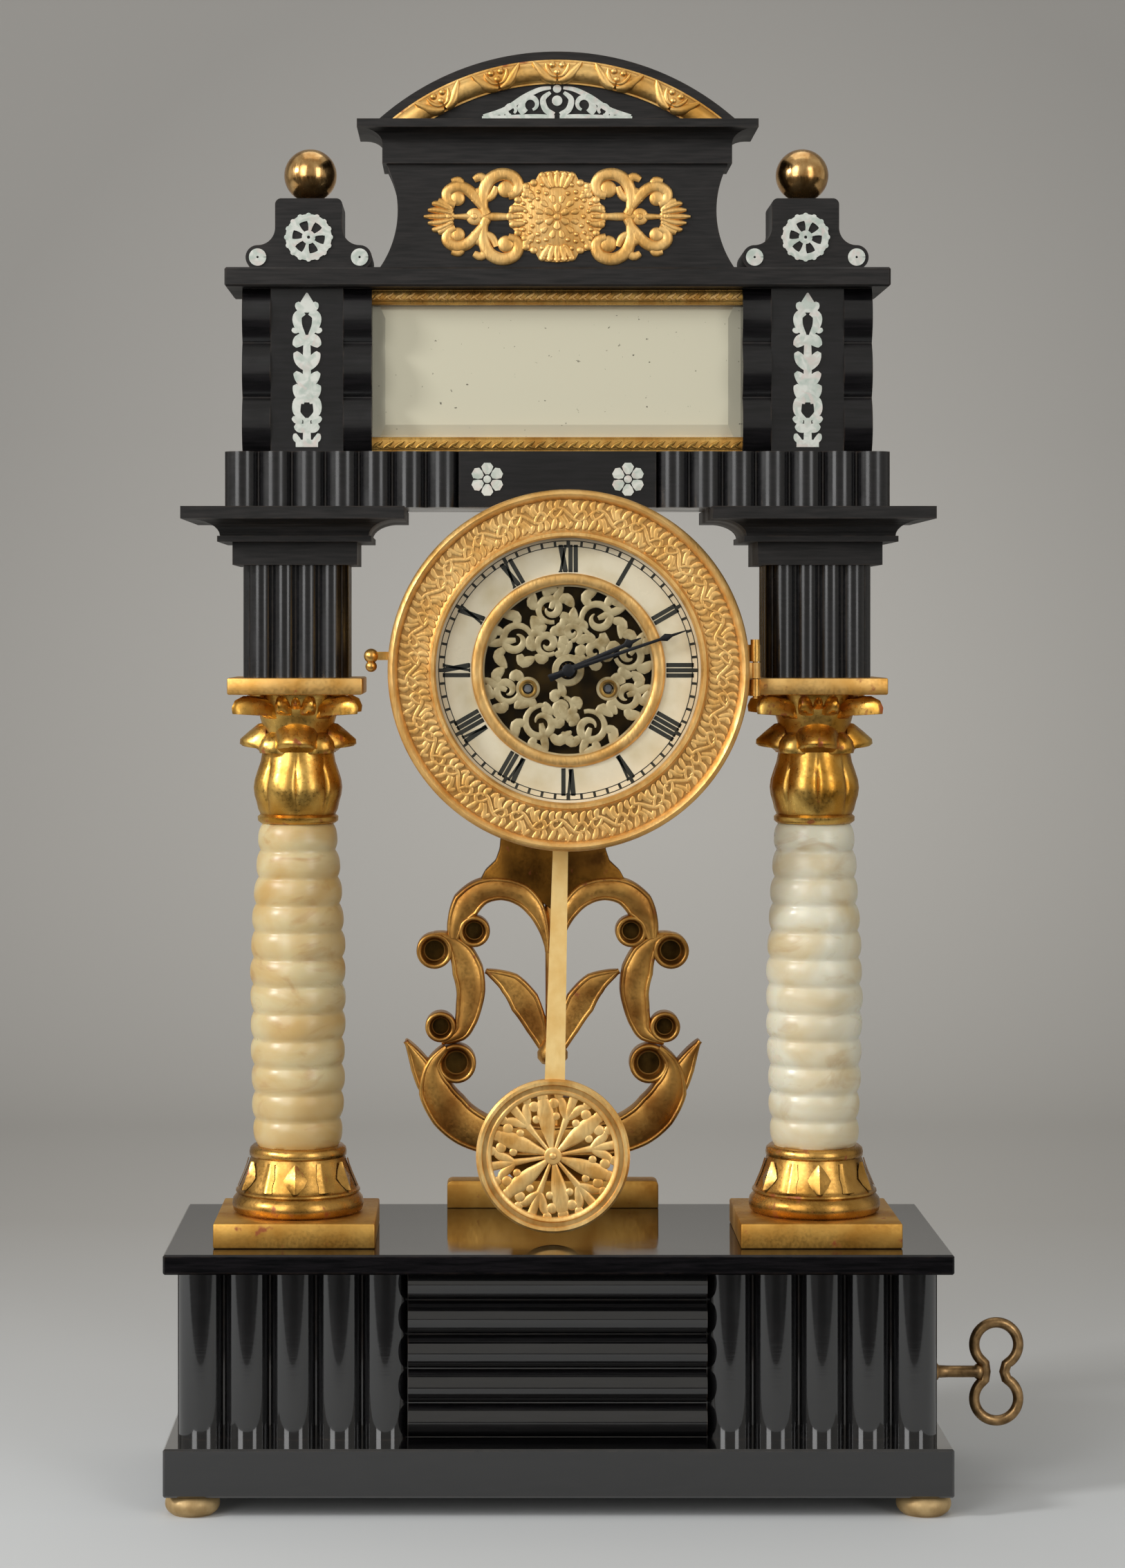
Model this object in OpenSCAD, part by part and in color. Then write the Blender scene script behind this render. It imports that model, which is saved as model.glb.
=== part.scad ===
// Portico clock: ebonised case with alabaster columns, a lyre, a skeleton dial and a music movement in the base.
// X runs to the right, Y to the back, Z up. The origin is the middle of the footprint on the surface it stands on.

/* [Base] */
// Width of the base slab and plinth
base_w = 300; // [290:1:330]
// Depth of the base slab and plinth
base_d = 120; // [116:1:140]
// Height of the bun feet
foot_h = 8; // [5:0.5:14]
// Diameter of the bun feet
foot_d = 21; // [14:0.5:28]
// Height of the plinth
plinth_h = 18.5; // [12:0.5:26]
// Height of the reeded body
body_h = 66; // [62:1:80]
// Thickness of the slab
slab_h = 7.6; // [6:0.2:12]
// Overhang of the slab past the body's sides and back
body_inset = 4; // [2:0.5:6]
// Overhang of the slab past the front reeding
reed_setback = 15; // [12:0.5:18]
// How far the front reeding stands proud of the carcase
base_reed_rise = 7; // [4:0.5:8]
// Wall of the carcase
carcase_wall = 8; // [5:0.5:10]
// Upright reeds on each side of the front
base_reed_count = 5; // [4:1:6]
// Width of the middle panel
centre_panel_w = 114.8; // [100:0.2:130]
// Level reeds on the middle panel
centre_reed_count = 5; // [4:1:6]
// Flat between neighbouring reeds
reed_flat = 0.5; // [0.3:0.1:1]
// Eased edge of the boards
edge_ease = 0.7; // [0.3:0.1:1.2]

/* [Columns] */
// Distance of each column's axis from the middle
column_x = 101; // [98:0.5:108]
// Distance of the columns' axes behind the slab's front
column_setback = 44.5; // [43.5:0.5:50]
// Side of the square column plinth
column_plinth_w = 62; // [56:0.5:70]
// Height of the column plinth
column_plinth_h = 9.6; // [6:0.2:14]
// Height of the turned gilt foot
column_foot_h = 26; // [20:0.5:32]
// Diameter of the gilt foot at its torus
column_foot_d = 51.5; // [46:0.5:56]
// Diameter of the gilt foot at its top ring
column_foot_top_d = 38; // [35:0.5:42]
// Height of the alabaster shaft
shaft_h = 125.8; // [110:0.2:145]
// Diameter of the shaft at the bottom
shaft_bottom_d = 34; // [30:0.5:36]
// Diameter of the shaft at its widest
shaft_mid_d = 37.6; // [34:0.2:40]
// Diameter of the shaft at the top
shaft_top_d = 30.4; // [27:0.2:33]
// Rings turned on the shaft
shaft_rings = 12; // [9:1:14]
// Depth of the grooves between the rings
ring_depth = 1.3; // [0.6:0.1:1.8]
// Height of the capital
capital_h = 50.5; // [44:0.5:58]
// Diameter of the capital's bulb
bulb_d = 35.6; // [32:0.2:40]
// Diameter across the capital's lower leaves
lower_leaf_d = 45; // [41:0.5:50]
// Diameter across the capital's upper leaves
upper_leaf_d = 51; // [46:0.5:52]
// Leaves in each row of the capital
leaf_count = 8; // [6:1:10]
// Side of the abacus
abacus_w = 52; // [48:0.5:58]
// Thickness of the abacus
abacus_h = 6.5; // [4:0.5:9]
// Side of the reeded block
block_w = 41; // [37:0.5:46]
// Height of the reeded block
block_h = 43.5; // [36:0.5:50]
// Reeds on each face of the block
block_reeds = 4; // [3:1:5]
// Rise of the block's reeds
block_reed_rise = 2.5; // [1.5:0.1:3]
// Side of the plain band under the impost
band_w = 48; // [45:0.5:52]
// Height of the plain band
band_h = 8.8; // [6:0.2:12]
// Side of the impost's lower lip
impost_lip_w = 59; // [54:0.5:64]
// Side of the impost at its top
impost_w = 85; // [78:0.5:88]
// Height of the impost
impost_h = 13.2; // [10:0.2:16]
// Diameter of the tie rod in each column
rod_d = 5; // [4:0.5:8]

/* [Attic] */
// Width of the frieze
frieze_w = 255.8; // [250:0.2:262]
// Depth of the frieze and the attic cornice
frieze_d = 54; // [50:0.5:58]
// Height of the frieze
frieze_h = 21.6; // [16:0.2:28]
// Reeds on each side of the frieze
frieze_reeds = 7; // [5:1:8]
// Width of the plain middle of the frieze
frieze_plain_w = 75.6; // [68:0.2:84]
// Rise of the frieze reeds
frieze_reed_rise = 4; // [2.5:0.1:5]
// Height of the attic
attic_h = 63.3; // [54:0.1:74]
// Width of each attic pier
pier_w = 50; // [46:0.5:54]
// Depth of each attic pier
pier_d = 41; // [36:0.5:44]
// Distance of each pier's outer face from the middle
pier_out = 121.5; // [118:0.5:124]
// Width of the wave strips
wave_w = 11; // [8:0.5:13]
// Waves on each strip
wave_count = 3; // [2:1:4]
// Rise of the waves
wave_rise = 3.6; // [2:0.1:4]
// Thickness of the mirror
mirror_t = 3; // [2:0.5:5]
// Bevel round the mirror
mirror_bevel = 5; // [3:0.5:8]
// How far the mirror lies behind the piers' faces
mirror_recess = 9; // [7:0.5:12]
// Thickness of the board behind the mirror
mirror_board_t = 12; // [6:0.5:15]
// Height of the gilt mouldings over and under the mirror
mirror_moulding_h = 6; // [4:0.2:9]
// Height of the attic cornice
attic_cornice_h = 7.4; // [5:0.2:10]

/* [Crest] */
// Depth of the crest and of the ball pedestals
crest_d = 30; // [24:0.5:36]
// Half width of the crest panel at its foot
crest_half_w = 69; // [65:0.5:72]
// Half width of the crest panel at its waist
crest_waist = 61.6; // [59:0.2:64]
// Height of the crest panel
crest_h = 40.7; // [36:0.1:46]
// Height of the fascia over the panel
fascia_h = 8; // [6:0.2:10]
// Half width of the crest cornice
crest_cornice_half = 78.5; // [75:0.5:84]
// Height of the crest cornice
crest_cornice_h = 8; // [6:0.2:10]
// Half width of the pediment
pediment_half = 70.5; // [66:0.5:74]
// Rise of the pediment
pediment_rise = 27.5; // [24:0.5:32]
// Black border outside the gilt band
pediment_border = 3.3; // [2:0.1:5]
// Width of the gilt band
band_gilt_w = 9.3; // [7:0.1:11]
// Distance of each ball from the middle
ball_x = 96; // [94:0.5:99]
// Diameter of the gilt balls
ball_d = 20.6; // [16:0.2:23]
// Width of the ball pedestals at the top
pedestal_w = 26; // [22:0.5:28]
// Height of the ball pedestals
pedestal_h = 27.5; // [22:0.5:30]
// Radius of the pedestals' side lobes
lobe_r = 4.7; // [3.5:0.1:5.2]
// Length of the brass mount
mount_w = 103; // [96:1:112]
// Height of the brass mount
mount_h = 36; // [32:0.5:38]
// Thickness of the brass mount
mount_t = 1.4; // [0.8:0.1:2]
// Thickness of the pearl inlays
pearl_t = 0.6; // [0.4:0.1:1]

/* [Lyre] */
// Thickness of the lyre
lyre_t = 11.4; // [9:0.2:14]
// Width of the lyre's foot
lyre_foot_w = 86.5; // [80:0.5:96]
// Height of the lyre's foot
lyre_foot_h = 11.2; // [8:0.1:13]
// Half width of the lyre's neck
neck_half = 21; // [17:0.5:25]
// Width of the lyre's scrolled arms
arm_w = 12.6; // [10:0.2:14]

/* [Clock] */
// Sideways set of the clock from the middle
clock_x = 4; // [0:0.5:5]
// Gap between the drum and the frieze over it
drum_gap = 2.5; // [2:0.1:6]
// Radius of the drum
drum_r = 60; // [59:0.5:61]
// Wall of the drum
drum_wall = 2; // [1.5:0.1:3]
// Plane of the drum's front flange, behind the slab's front
flange_setback = 14; // [13:0.2:15]
// Thickness of the drum's flange
flange_t = 1.5; // [1:0.1:2]
// Reach of the bezel past the drum
bezel_over = 9; // [7:0.2:10]
// Reach of the bezel inside the drum's radius
sight_in = 9.3; // [8:0.1:11]
// Thickness of the bezel
bezel_t = 9; // [8:0.2:11]
// Thickness of the glass
glass_t = 1.5; // [1:0.1:2]
// Radius of the dial's gilt rim, outside
rim_out_r = 37.2; // [36:0.1:39]
// Radius of the dial's gilt rim, inside
rim_in_r = 32.8; // [31:0.1:34]
// Thickness of the dial ring
dial_t = 1.6; // [1:0.1:2]
// Length of the minute hand
minute_len = 48.5; // [44:0.5:49]
// Length of the hour hand
hour_len = 31; // [28:0.5:34]
// Place of the minute hand, in degrees past twelve
minute_angle = 71.3; // [0:0.1:360]
// Place of the hour hand, in degrees past twelve
hour_angle = 66; // [0:0.1:360]
// Sideways distance of the winding squares from the middle
winder_x = 15.4; // [15.2:0.1:16]
// Drop of the winding squares below the middle
winder_drop = 7.1; // [6:0.1:9]
// Radius of the pendulum bob
bob_r = 30; // [26:0.5:32]
// Gap between the bob and the slab
bob_gap = 1.9; // [1.5:0.1:6]
// Thickness of the bob
bob_t = 3.4; // [2.5:0.1:5]
// Width of the pendulum rod at the bottom
rod_w = 7.9; // [6:0.1:9]
// Width of the pendulum rod at the top
rod_top_w = 3.8; // [3.5:0.1:5]
// Height of the pendulum's pivot over the dial's middle
pivot_rise = 30; // [29:0.5:33]
// Lean of the pendulum as it stands, in degrees
pendulum_lean = 1.4; // [0:0.1:2.5]
// Space between the movement's plates
plate_gap = 10; // [9.5:0.1:12]
// Thickness of the movement's plates
plate_t = 1.2; // [1:0.1:2]
// Radius of the movement's plates
plate_r = 45; // [44:0.5:48]
// Running clearance of pivots, radial
run_gap = 0.06; // [0.03:0.01:0.1]

/* [Music movement] */
// Height of the key's shaft over the plinth
key_rise = 17; // [16.8:0.1:19]
// Radius of the key's loops
key_loop_r = 8.7; // [7:0.1:10]
// Thickness of the key's wire
key_wire = 4.2; // [3:0.1:5]
// Distance of the key's loops from the base's side
key_reach = 28.5; // [24:0.5:32]
// Radius of the music cylinder
cylinder_r = 11; // [9:0.5:12]
// Length of the music cylinder
cylinder_l = 88; // [80:1:92]
// Module of the music movement's wheels
music_module = 0.8; // [0.75:0.01:0.85]

/* [Hidden] */
$fn = 48;
black = [0.04, 0.04, 0.045];
gilt = [0.83, 0.62, 0.27];
brass = [0.78, 0.62, 0.32];
steel = [0.55, 0.56, 0.58];
blued = [0.12, 0.13, 0.17];
cream = [0.93, 0.88, 0.74];
pearl = [0.88, 0.9, 0.87];
mirror_grey = [0.78, 0.78, 0.72];
eps = 0.01;

// Levels, from the surface up
plinth_z = foot_h;
body_z = plinth_z + plinth_h;
slab_z = body_z + body_h;
top_z = slab_z + slab_h;
column_foot_z = top_z + column_plinth_h;
shaft_z = column_foot_z + column_foot_h;
capital_z = shaft_z + shaft_h;
abacus_z = capital_z + capital_h;
block_z = abacus_z + abacus_h;
band_z = block_z + block_h;
impost_z = band_z + band_h;
frieze_z = impost_z + impost_h;
attic_z = frieze_z + frieze_h;
attic_cornice_z = attic_z + attic_h;
crest_z = attic_cornice_z + attic_cornice_h;
fascia_z = crest_z + crest_h;
crest_cornice_z = fascia_z + fascia_h;
pediment_z = crest_cornice_z + crest_cornice_h;

// Planes, from the front to the back
front_y = -base_d / 2;
back_y = base_d / 2;
carcase_y = front_y + reed_setback + base_reed_rise;
carcase_back = back_y - body_inset;
carcase_half = base_w / 2 - body_inset;
column_y = front_y + column_setback;
frieze_front = column_y - frieze_d / 2;
frieze_back = column_y + frieze_d / 2;
pier_front = column_y - pier_d / 2;
pier_back = column_y + pier_d / 2;
wave_base = pier_front + wave_rise / 2;
mirror_front = pier_front + mirror_recess;
mirror_back = mirror_front + mirror_t;
pier_in = pier_out - pier_w;
crest_front = pier_front + 3;
crest_back = crest_front + crest_d;
crest_cornice_out = crest_cornice_half - crest_half_w;
lyre_y = back_y - lyre_t;
lyre_drawn_w = 86.5;
lyre_drawn_z = 111.3;
lyre_unit = lyre_foot_w / lyre_drawn_w;
rod_bore = rod_d / 2 + run_gap;
nut_r = rod_d;
nut_t = rod_d * 0.8;

// Clock case and dial planes
dial_z = frieze_z - drum_gap - drum_r;
bezel_r = drum_r + bezel_over;
sight_r = drum_r - sight_in;
flange_y = front_y + flange_setback;
bezel_front = flange_y - bezel_t;
glass_y = bezel_front + 2.4;
drum_front = flange_y + flange_t;
drum_back = back_y - 4;
drum_bore = drum_r - drum_wall;
flange_r = bezel_r - 2;
dial_front = flange_y + 0.4;
dial_back = dial_front + dial_t;
skeleton_back = dial_back + 1.2;
plate_a = skeleton_back + 5.4;
plate_b = plate_a + plate_t + plate_gap;
plate_b_back = plate_b + plate_t;
pivot_z = dial_z + pivot_rise;
bob_z = top_z + bob_gap + bob_r;
pendulum_y = plate_b_back + 3.2;
rod_t = 1;
eye_r = 3.2;
stud_r = 1.5;
hinge_r = 2;
hinge_x = clock_x + bezel_r + hinge_r + 0.4;
hinge_h = 19.6;
catch_pin_r = 1.2;
catch_x = clock_x - flange_r + 3.5;
catch_z = dial_z + 5.5;

// Gong and hammer
gong_y = plate_b_back + (drum_back - plate_b_back) * 0.42;
gong_r = drum_bore * 0.6;
gong_wire = 1.4;
hammer_r = 3;
hammer_x = 22;
hammer_gap = 2;
hammer_drop = sqrt((gong_r - gong_wire - hammer_r - hammer_gap) ^ 2 - hammer_x ^ 2);

// Going train: module, counts and layers
train_module = 0.4;
great_teeth = 72;
centre_pinion = 12;
centre_teeth = 64;
third_pinion = 8;
third_teeth = 60;
escape_pinion = 8;
escape_teeth = 30;
escape_r = 7.5;
motion_module = 0.5;
cannon_teeth = 10;
motion_teeth = 30;
motion_pinion = 8;
hour_teeth = 32;
winder_dist = norm([winder_x, winder_drop]);
winder_angle = atan2(-winder_drop, winder_x);
great_module = 2 * winder_dist / (great_teeth + centre_pinion);
third_dist = train_module * (centre_teeth + third_pinion) / 2;
third_z = dial_z + third_dist;
escape_dist = train_module * (third_teeth + escape_pinion) / 2;
anchor_dist = 11.5;
pivot_over_third = pivot_z - third_z;
escape_up = (escape_dist ^ 2 + pivot_over_third ^ 2 - anchor_dist ^ 2) / (2 * pivot_over_third);
escape_left = sqrt(escape_dist ^ 2 - escape_up ^ 2);
escape_x = clock_x - escape_left;
escape_z = third_z + escape_up;
escape_angle = atan2(escape_up, -escape_left);
motion_dist = motion_module * (cannon_teeth + motion_teeth) / 2;
motion_angle = 125;
great_y = plate_a + plate_t + 0.5;
barrel_y = great_y + 1;
barrel_l = plate_gap - 4.4;
barrel_r = great_module * great_teeth / 2 - 2.2;
third_y = barrel_y + 1.2;
centre_y = plate_b - 1.6;
cannon_y = plate_a - 1.7;
hour_wheel_y = plate_a - 3.9;
wheel_t = 0.9;
arbor_r = 0.9;
hub_r = 1.2;
hour_hand_y = dial_front - 2.6;
minute_hand_y = hour_hand_y - 1.3;
hand_t = 0.7;
pipe_r = 2;
winder_r = 1.5;

// Music movement
music_y = 0;
barrel_axis_z = body_z + key_rise;
music_wall = 3;
barrel_teeth = 34;
bed_gap = 0.5;
bed_t = key_rise - music_module * (barrel_teeth / 2 + 1) - bed_gap;
cylinder_pinion = 12;
cylinder_teeth = 40;
fly_pinion = 10;
cylinder_axis_z = barrel_axis_z + music_module * (barrel_teeth + cylinder_pinion) / 2;
fly_axis_z = cylinder_axis_z - music_module * (cylinder_teeth + fly_pinion) / 2;
music_barrel_r = music_module * barrel_teeth / 2 - 1.2;
music_barrel_l = 26;
stand_right = 112;
stand_mid = stand_right - music_wall - music_barrel_l - 5;
stand_left = stand_mid - music_wall - cylinder_l - 5;
stand_fly = stand_left - music_wall - 16;
stand_top = cylinder_axis_z + 5;
stand_d = 20;
pivot_r = 1.4;
music_arbor_r = 2.5;
key_x = base_w / 2 - body_inset + key_reach;
key_rise_loop = key_loop_r + key_wire / 2 - 0.1;
key_right = key_x + key_loop_r + key_wire / 2;

// Distance of the base's middle from the middle of the whole box, which takes in the key
frame_x = (key_right - base_w / 2) / 2;

// Radius of the circle that has this chord and rise
function arc_radius(chord, rise) = (chord * chord / 4 + rise * rise) / (2 * rise);

// Points on an arc, from angle a to angle b
function arc_points(c, r, a, b, n) = [for (i = [0:n]) c + r * [cos(a + (b - a) * i / n), sin(a + (b - a) * i / n)]];

// Outline of a wheel with plain tapered teeth
function wheel_points(teeth, module_size, add, ded) =
  let (pitch_r = teeth * module_size / 2, step = 360 / teeth)
  [for (i = [0:teeth - 1], k = [[-0.26, -ded], [-0.11, add], [0.11, add], [0.26, -ded]])
    let (r = pitch_r + k[1] * module_size, a = (i + k[0]) * step)
    [r * cos(a), r * sin(a)]];

module cut_corners(w, h, e) {
  polygon([[e - w / 2, -h / 2], [w / 2 - e, -h / 2], [w / 2, e - h / 2], [w / 2, h / 2 - e],
    [w / 2 - e, h / 2], [e - w / 2, h / 2], [-w / 2, h / 2 - e], [-w / 2, e - h / 2]]);
}

// Board with eased edges, centred on x, between two planes and two levels
module board(w, y0, y1, z0, z1, x = 0, e = edge_ease) {
  translate([x, (y0 + y1) / 2, (z0 + z1) / 2])
    intersection() {
      linear_extrude(height = z1 - z0, center = true) cut_corners(w, y1 - y0, e);
      rotate([90, 0, 0]) linear_extrude(height = y1 - y0, center = true) cut_corners(w, z1 - z0, e);
      rotate([90, 0, 90]) linear_extrude(height = w, center = true) cut_corners(y1 - y0, z1 - z0, e);
    }
}

// Plain box between two planes and two levels, centred on x
module box(w, y0, y1, z0, z1, x = 0) {
  translate([x - w / 2, y0, z0]) cube([w, y1 - y0, z1 - z0]);
}

module both_sides(x) {
  for (side = [-1, 1]) translate([side * x, 0, 0]) children();
}

// Puts a flat outline, drawn as seen from the front, upright between two planes
module upright(y0, y1) {
  translate([0, y1, 0]) rotate([90, 0, 0]) linear_extrude(height = y1 - y0) children();
}

// Rod along Y
module rod_y(r, y0, y1, x = 0, z = 0) {
  translate([x, y0, z]) rotate([-90, 0, 0]) cylinder(r = r, h = y1 - y0);
}

// Rod along X
module rod_x(r, x0, x1, y = 0, z = 0) {
  translate([x0, y, z]) rotate([0, 90, 0]) cylinder(r = r, h = x1 - x0);
}

// Row of convex reeds on a thin backing: it runs along X, rises towards -Y, backing behind
module reed_row(count, w, rise, backing) {
  r = arc_radius(w - reed_flat, rise);
  translate([-count * w / 2, 0]) square([count * w, backing]);
  for (i = [0:count - 1])
    translate([(i + 0.5 - count / 2) * w, 0])
      intersection() {
        translate([0, r - rise]) circle(r = r);
        translate([-w / 2, -rise]) square([w, rise + backing / 2]);
      }
}

module wheel(teeth, module_size, t, add = 0.8, ded = 1.1) {
  rotate([-90, 0, 0]) linear_extrude(height = t) polygon(wheel_points(teeth, module_size, add, ded));
}

// Wheel with four crossings cut out
module crossed_wheel(teeth, module_size, t) {
  rim = teeth * module_size / 2 - 2.2 * module_size - 0.8;
  rotate([-90, 0, 0])
    linear_extrude(height = t)
      difference() {
        polygon(wheel_points(teeth, module_size, 0.8, 1.1));
        for (a = [0:90:270])
          intersection() {
            difference() {
              circle(r = rim);
              circle(r = 2.6);
            }
            rotate(a) translate([0.7, 0.7]) square(rim);
          }
      }
}

// Band of an arc, drawn flat
module arc_band(c, r, w, a, b) {
  polygon(concat(arc_points(c, r + w / 2, a, b, 14), arc_points(c, r - w / 2, b, a, 14)));
}

module feet() {
  color(brass)
    both_sides(base_w / 2 - foot_d / 2)
      for (y = [front_y + foot_d / 2, back_y - foot_d / 2])
        translate([0, y, 0])
          rotate_extrude()
            intersection() {
              square([foot_d / 2, foot_h]);
              union() {
                square([foot_d / 2 - foot_h / 3, foot_h]);
                translate([foot_d / 2 - foot_h / 2, foot_h / 2]) circle(r = foot_h / 2);
              }
            }
}

module base_plinth() {
  color(black) board(base_w, front_y, back_y, plinth_z, body_z);
}

module base_carcase() {
  color(black)
    difference() {
      board(2 * carcase_half, carcase_y, carcase_back, body_z, slab_z);
      box(2 * (carcase_half - carcase_wall), carcase_y + carcase_wall, carcase_back - carcase_wall,
        body_z - 1, slab_z + 1);
      rod_x(music_arbor_r + run_gap, 0, base_w, music_y, barrel_axis_z);
    }
}

module base_reeding() {
  side_w = carcase_half - centre_panel_w / 2;
  backing = 1;
  color(black) {
    for (side = [-1, 1])
      translate([side * (centre_panel_w + side_w) / 2, carcase_y - backing, body_z])
        linear_extrude(height = body_h)
          reed_row(base_reed_count, side_w / base_reed_count, base_reed_rise - backing, backing);
    translate([-centre_panel_w / 2, carcase_y - backing, body_z + body_h / 2])
      rotate([0, 90, 0])
        linear_extrude(height = centre_panel_w)
          reed_row(centre_reed_count, body_h / centre_reed_count, base_reed_rise - backing, backing);
  }
}

module base_top() {
  color(black)
    difference() {
      board(base_w, front_y, back_y, slab_z, top_z);
      both_sides(column_x) translate([0, column_y, slab_z - 1]) cylinder(r = rod_bore, h = slab_h + 2);
    }
}

// Upright stand of the music movement, with the bores that it carries
module music_stand(x, low_r, low_z, high_r) {
  difference() {
    box(music_wall, music_y - stand_d / 2, music_y + stand_d / 2, body_z + bed_t - eps, stand_top, x + music_wall / 2);
    rod_x(low_r, x - 1, x + music_wall + 1, music_y, low_z);
    if (high_r > 0) rod_x(high_r, x - 1, x + music_wall + 1, music_y, cylinder_axis_z);
  }
}

module music_bedplate() {
  comb_x = (stand_mid + stand_left + music_wall) / 2;
  color(brass) {
    box(stand_right - stand_fly + music_wall, music_y - stand_d / 2 - 12, music_y + stand_d / 2 + 4, body_z,
      body_z + bed_t, (stand_right + stand_fly + music_wall) / 2);
    music_stand(stand_right, music_arbor_r + run_gap, barrel_axis_z, 0);
    music_stand(stand_mid, music_arbor_r + run_gap, barrel_axis_z, pivot_r + run_gap);
    music_stand(stand_left, pivot_r + run_gap, fly_axis_z, pivot_r + run_gap);
    music_stand(stand_fly, pivot_r + run_gap, fly_axis_z, 0);
    box(cylinder_l - 6, music_y - stand_d / 2 - 12, music_y - stand_d / 2 - 6, body_z, cylinder_axis_z - 1, comb_x);
  }
}

module music_arbor() {
  color(steel) rod_x(music_arbor_r, stand_mid + 0.2, carcase_half - 0.5, music_y, barrel_axis_z);
}

module music_barrel() {
  x0 = stand_mid + music_wall + 1;
  color(brass)
    difference() {
      union() {
        rod_x(music_barrel_r, x0 + 2.5, x0 + music_barrel_l, music_y, barrel_axis_z);
        translate([x0, music_y, barrel_axis_z])
          rotate([0, 0, -90])
            rotate([0, 90 + 180 / barrel_teeth, 0]) wheel(barrel_teeth, music_module, 2.6);
      }
      rod_x(music_arbor_r + run_gap, x0 - 1, x0 + music_barrel_l + 1, music_y, barrel_axis_z);
    }
}

module music_cylinder() {
  x0 = stand_left + music_wall + 2.5;
  color(brass) {
    rod_x(cylinder_r, x0, x0 + cylinder_l, music_y, cylinder_axis_z);
    rod_x(pivot_r, stand_left - 4.5, stand_mid + music_wall + 4, music_y, cylinder_axis_z);
    translate([stand_mid + music_wall + 1, music_y, cylinder_axis_z])
      rotate([0, 0, -90]) rotate([0, 90, 0]) wheel(cylinder_pinion, music_module, 2.6);
    translate([stand_left - 4, music_y, cylinder_axis_z])
      rotate([0, 0, -90]) rotate([0, 90, 0]) wheel(cylinder_teeth, music_module, 2);
  }
}

module music_comb() {
  gap = 0.6;
  x0 = (stand_mid + stand_left + music_wall) / 2 - cylinder_l / 2 + 3;
  tooth = 3;
  count = floor((cylinder_l - 6) / tooth);
  base_y = music_y - stand_d / 2 - 12;
  color(steel)
    translate([x0, 0, cylinder_axis_z - 1]) {
      translate([0, base_y, 0]) cube([count * tooth, 7, 1.2]);
      for (i = [0:count - 1])
        translate([i * tooth, base_y + 6, 0])
          cube([tooth - 0.8, music_y - cylinder_r - gap - base_y - 6, 1.2]);
    }
}

module music_fly() {
  color(brass) {
    rod_x(pivot_r, stand_fly + 0.2, stand_left + music_wall - 0.2, music_y, fly_axis_z);
    translate([stand_left - 4, music_y, fly_axis_z])
      rotate([0, 0, -90]) rotate([0, 90 + 180 / fly_pinion, 0]) wheel(fly_pinion, music_module, 2);
    box(8, music_y - 8, music_y + 8, fly_axis_z - 0.5, fly_axis_z + 0.5, stand_fly + music_wall + 5.5);
  }
}

// Key with a bow of two round loops, open to each other at the waist
module winding_key() {
  hub_x = carcase_half + 1;
  left = 237;
  right = 298;
  color(brass) {
    rod_x(music_arbor_r + 1, hub_x, hub_x + 5, music_y, barrel_axis_z);
    rod_x(music_arbor_r, carcase_half - 0.5, key_x - key_loop_r / 2, music_y, barrel_axis_z);
    for (side = [-1, 1])
      translate([key_x, music_y, barrel_axis_z + side * key_rise_loop])
        rotate([side * 90, 0, 0])
          rotate([0, 0, right - 360])
            rotate_extrude(angle = 360 + left - right) translate([key_loop_r, 0]) circle(d = key_wire);
    for (a = [left, right]) {
      end_x = key_x + key_loop_r * cos(a);
      end_rise = key_rise_loop + key_loop_r * sin(a);
      tall = 2 * end_rise + key_wire * 0.8;
      translate([end_x, music_y, barrel_axis_z - tall / 2]) cylinder(d = key_wire + 0.5, h = tall);
    }
  }
}

module column_plinths() {
  color(gilt)
    both_sides(column_x)
      difference() {
        board(column_plinth_w, column_y - column_plinth_w / 2, column_y + column_plinth_w / 2, top_z,
          column_foot_z);
        translate([0, column_y, top_z - 1]) cylinder(r = rod_bore, h = column_plinth_h + 2);
      }
}

// Turned gilt foot: torus, hollow flare, ring
function foot_profile() = let (
    r = column_foot_d / 2,
    t = column_foot_top_d / 2,
    torus = column_foot_h * 0.3,
    ring = column_foot_h * 0.14)
  concat([[rod_bore, 0]],
    arc_points([r - torus / 2, torus / 2], torus / 2, -90, 90, 8),
    [[r - torus / 2 - 0.6, torus + 0.8]],
    [for (i = [0:8]) let (k = i / 8) [
      t - 0.8 + (r - torus / 2 - 1.4 - t) * (1 - sin(90 * k)),
      torus + 1.2 + (column_foot_h - ring - torus - 1.8) * k]],
    arc_points([t - ring / 2, column_foot_h - ring / 2], ring / 2, -80, 90, 6),
    [[rod_bore, column_foot_h]]);

module column_feet() {
  color(gilt)
    both_sides(column_x)
      translate([0, column_y, column_foot_z]) rotate_extrude() polygon(foot_profile());
}

// Radius of the alabaster shaft at a share k of its height, with its turned rings
function shaft_radius(k) = let (
    swell = 0.42,
    body = k < swell
      ? shaft_mid_d - (shaft_mid_d - shaft_bottom_d) * ((swell - k) / swell) ^ 2
      : shaft_mid_d - (shaft_mid_d - shaft_top_d) * ((k - swell) / (1 - swell)) ^ 2)
  body / 2 - ring_depth * (1 - abs(sin(180 * shaft_rings * k)));

module column_shafts() {
  steps = shaft_rings * 8;
  color(cream)
    both_sides(column_x)
      translate([0, column_y, shaft_z])
        rotate_extrude()
          polygon(concat([[rod_bore, 0]],
            [for (i = [0:steps]) [shaft_radius(i / steps), shaft_h * i / steps]],
            [[rod_bore, shaft_h]]));
}

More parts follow.
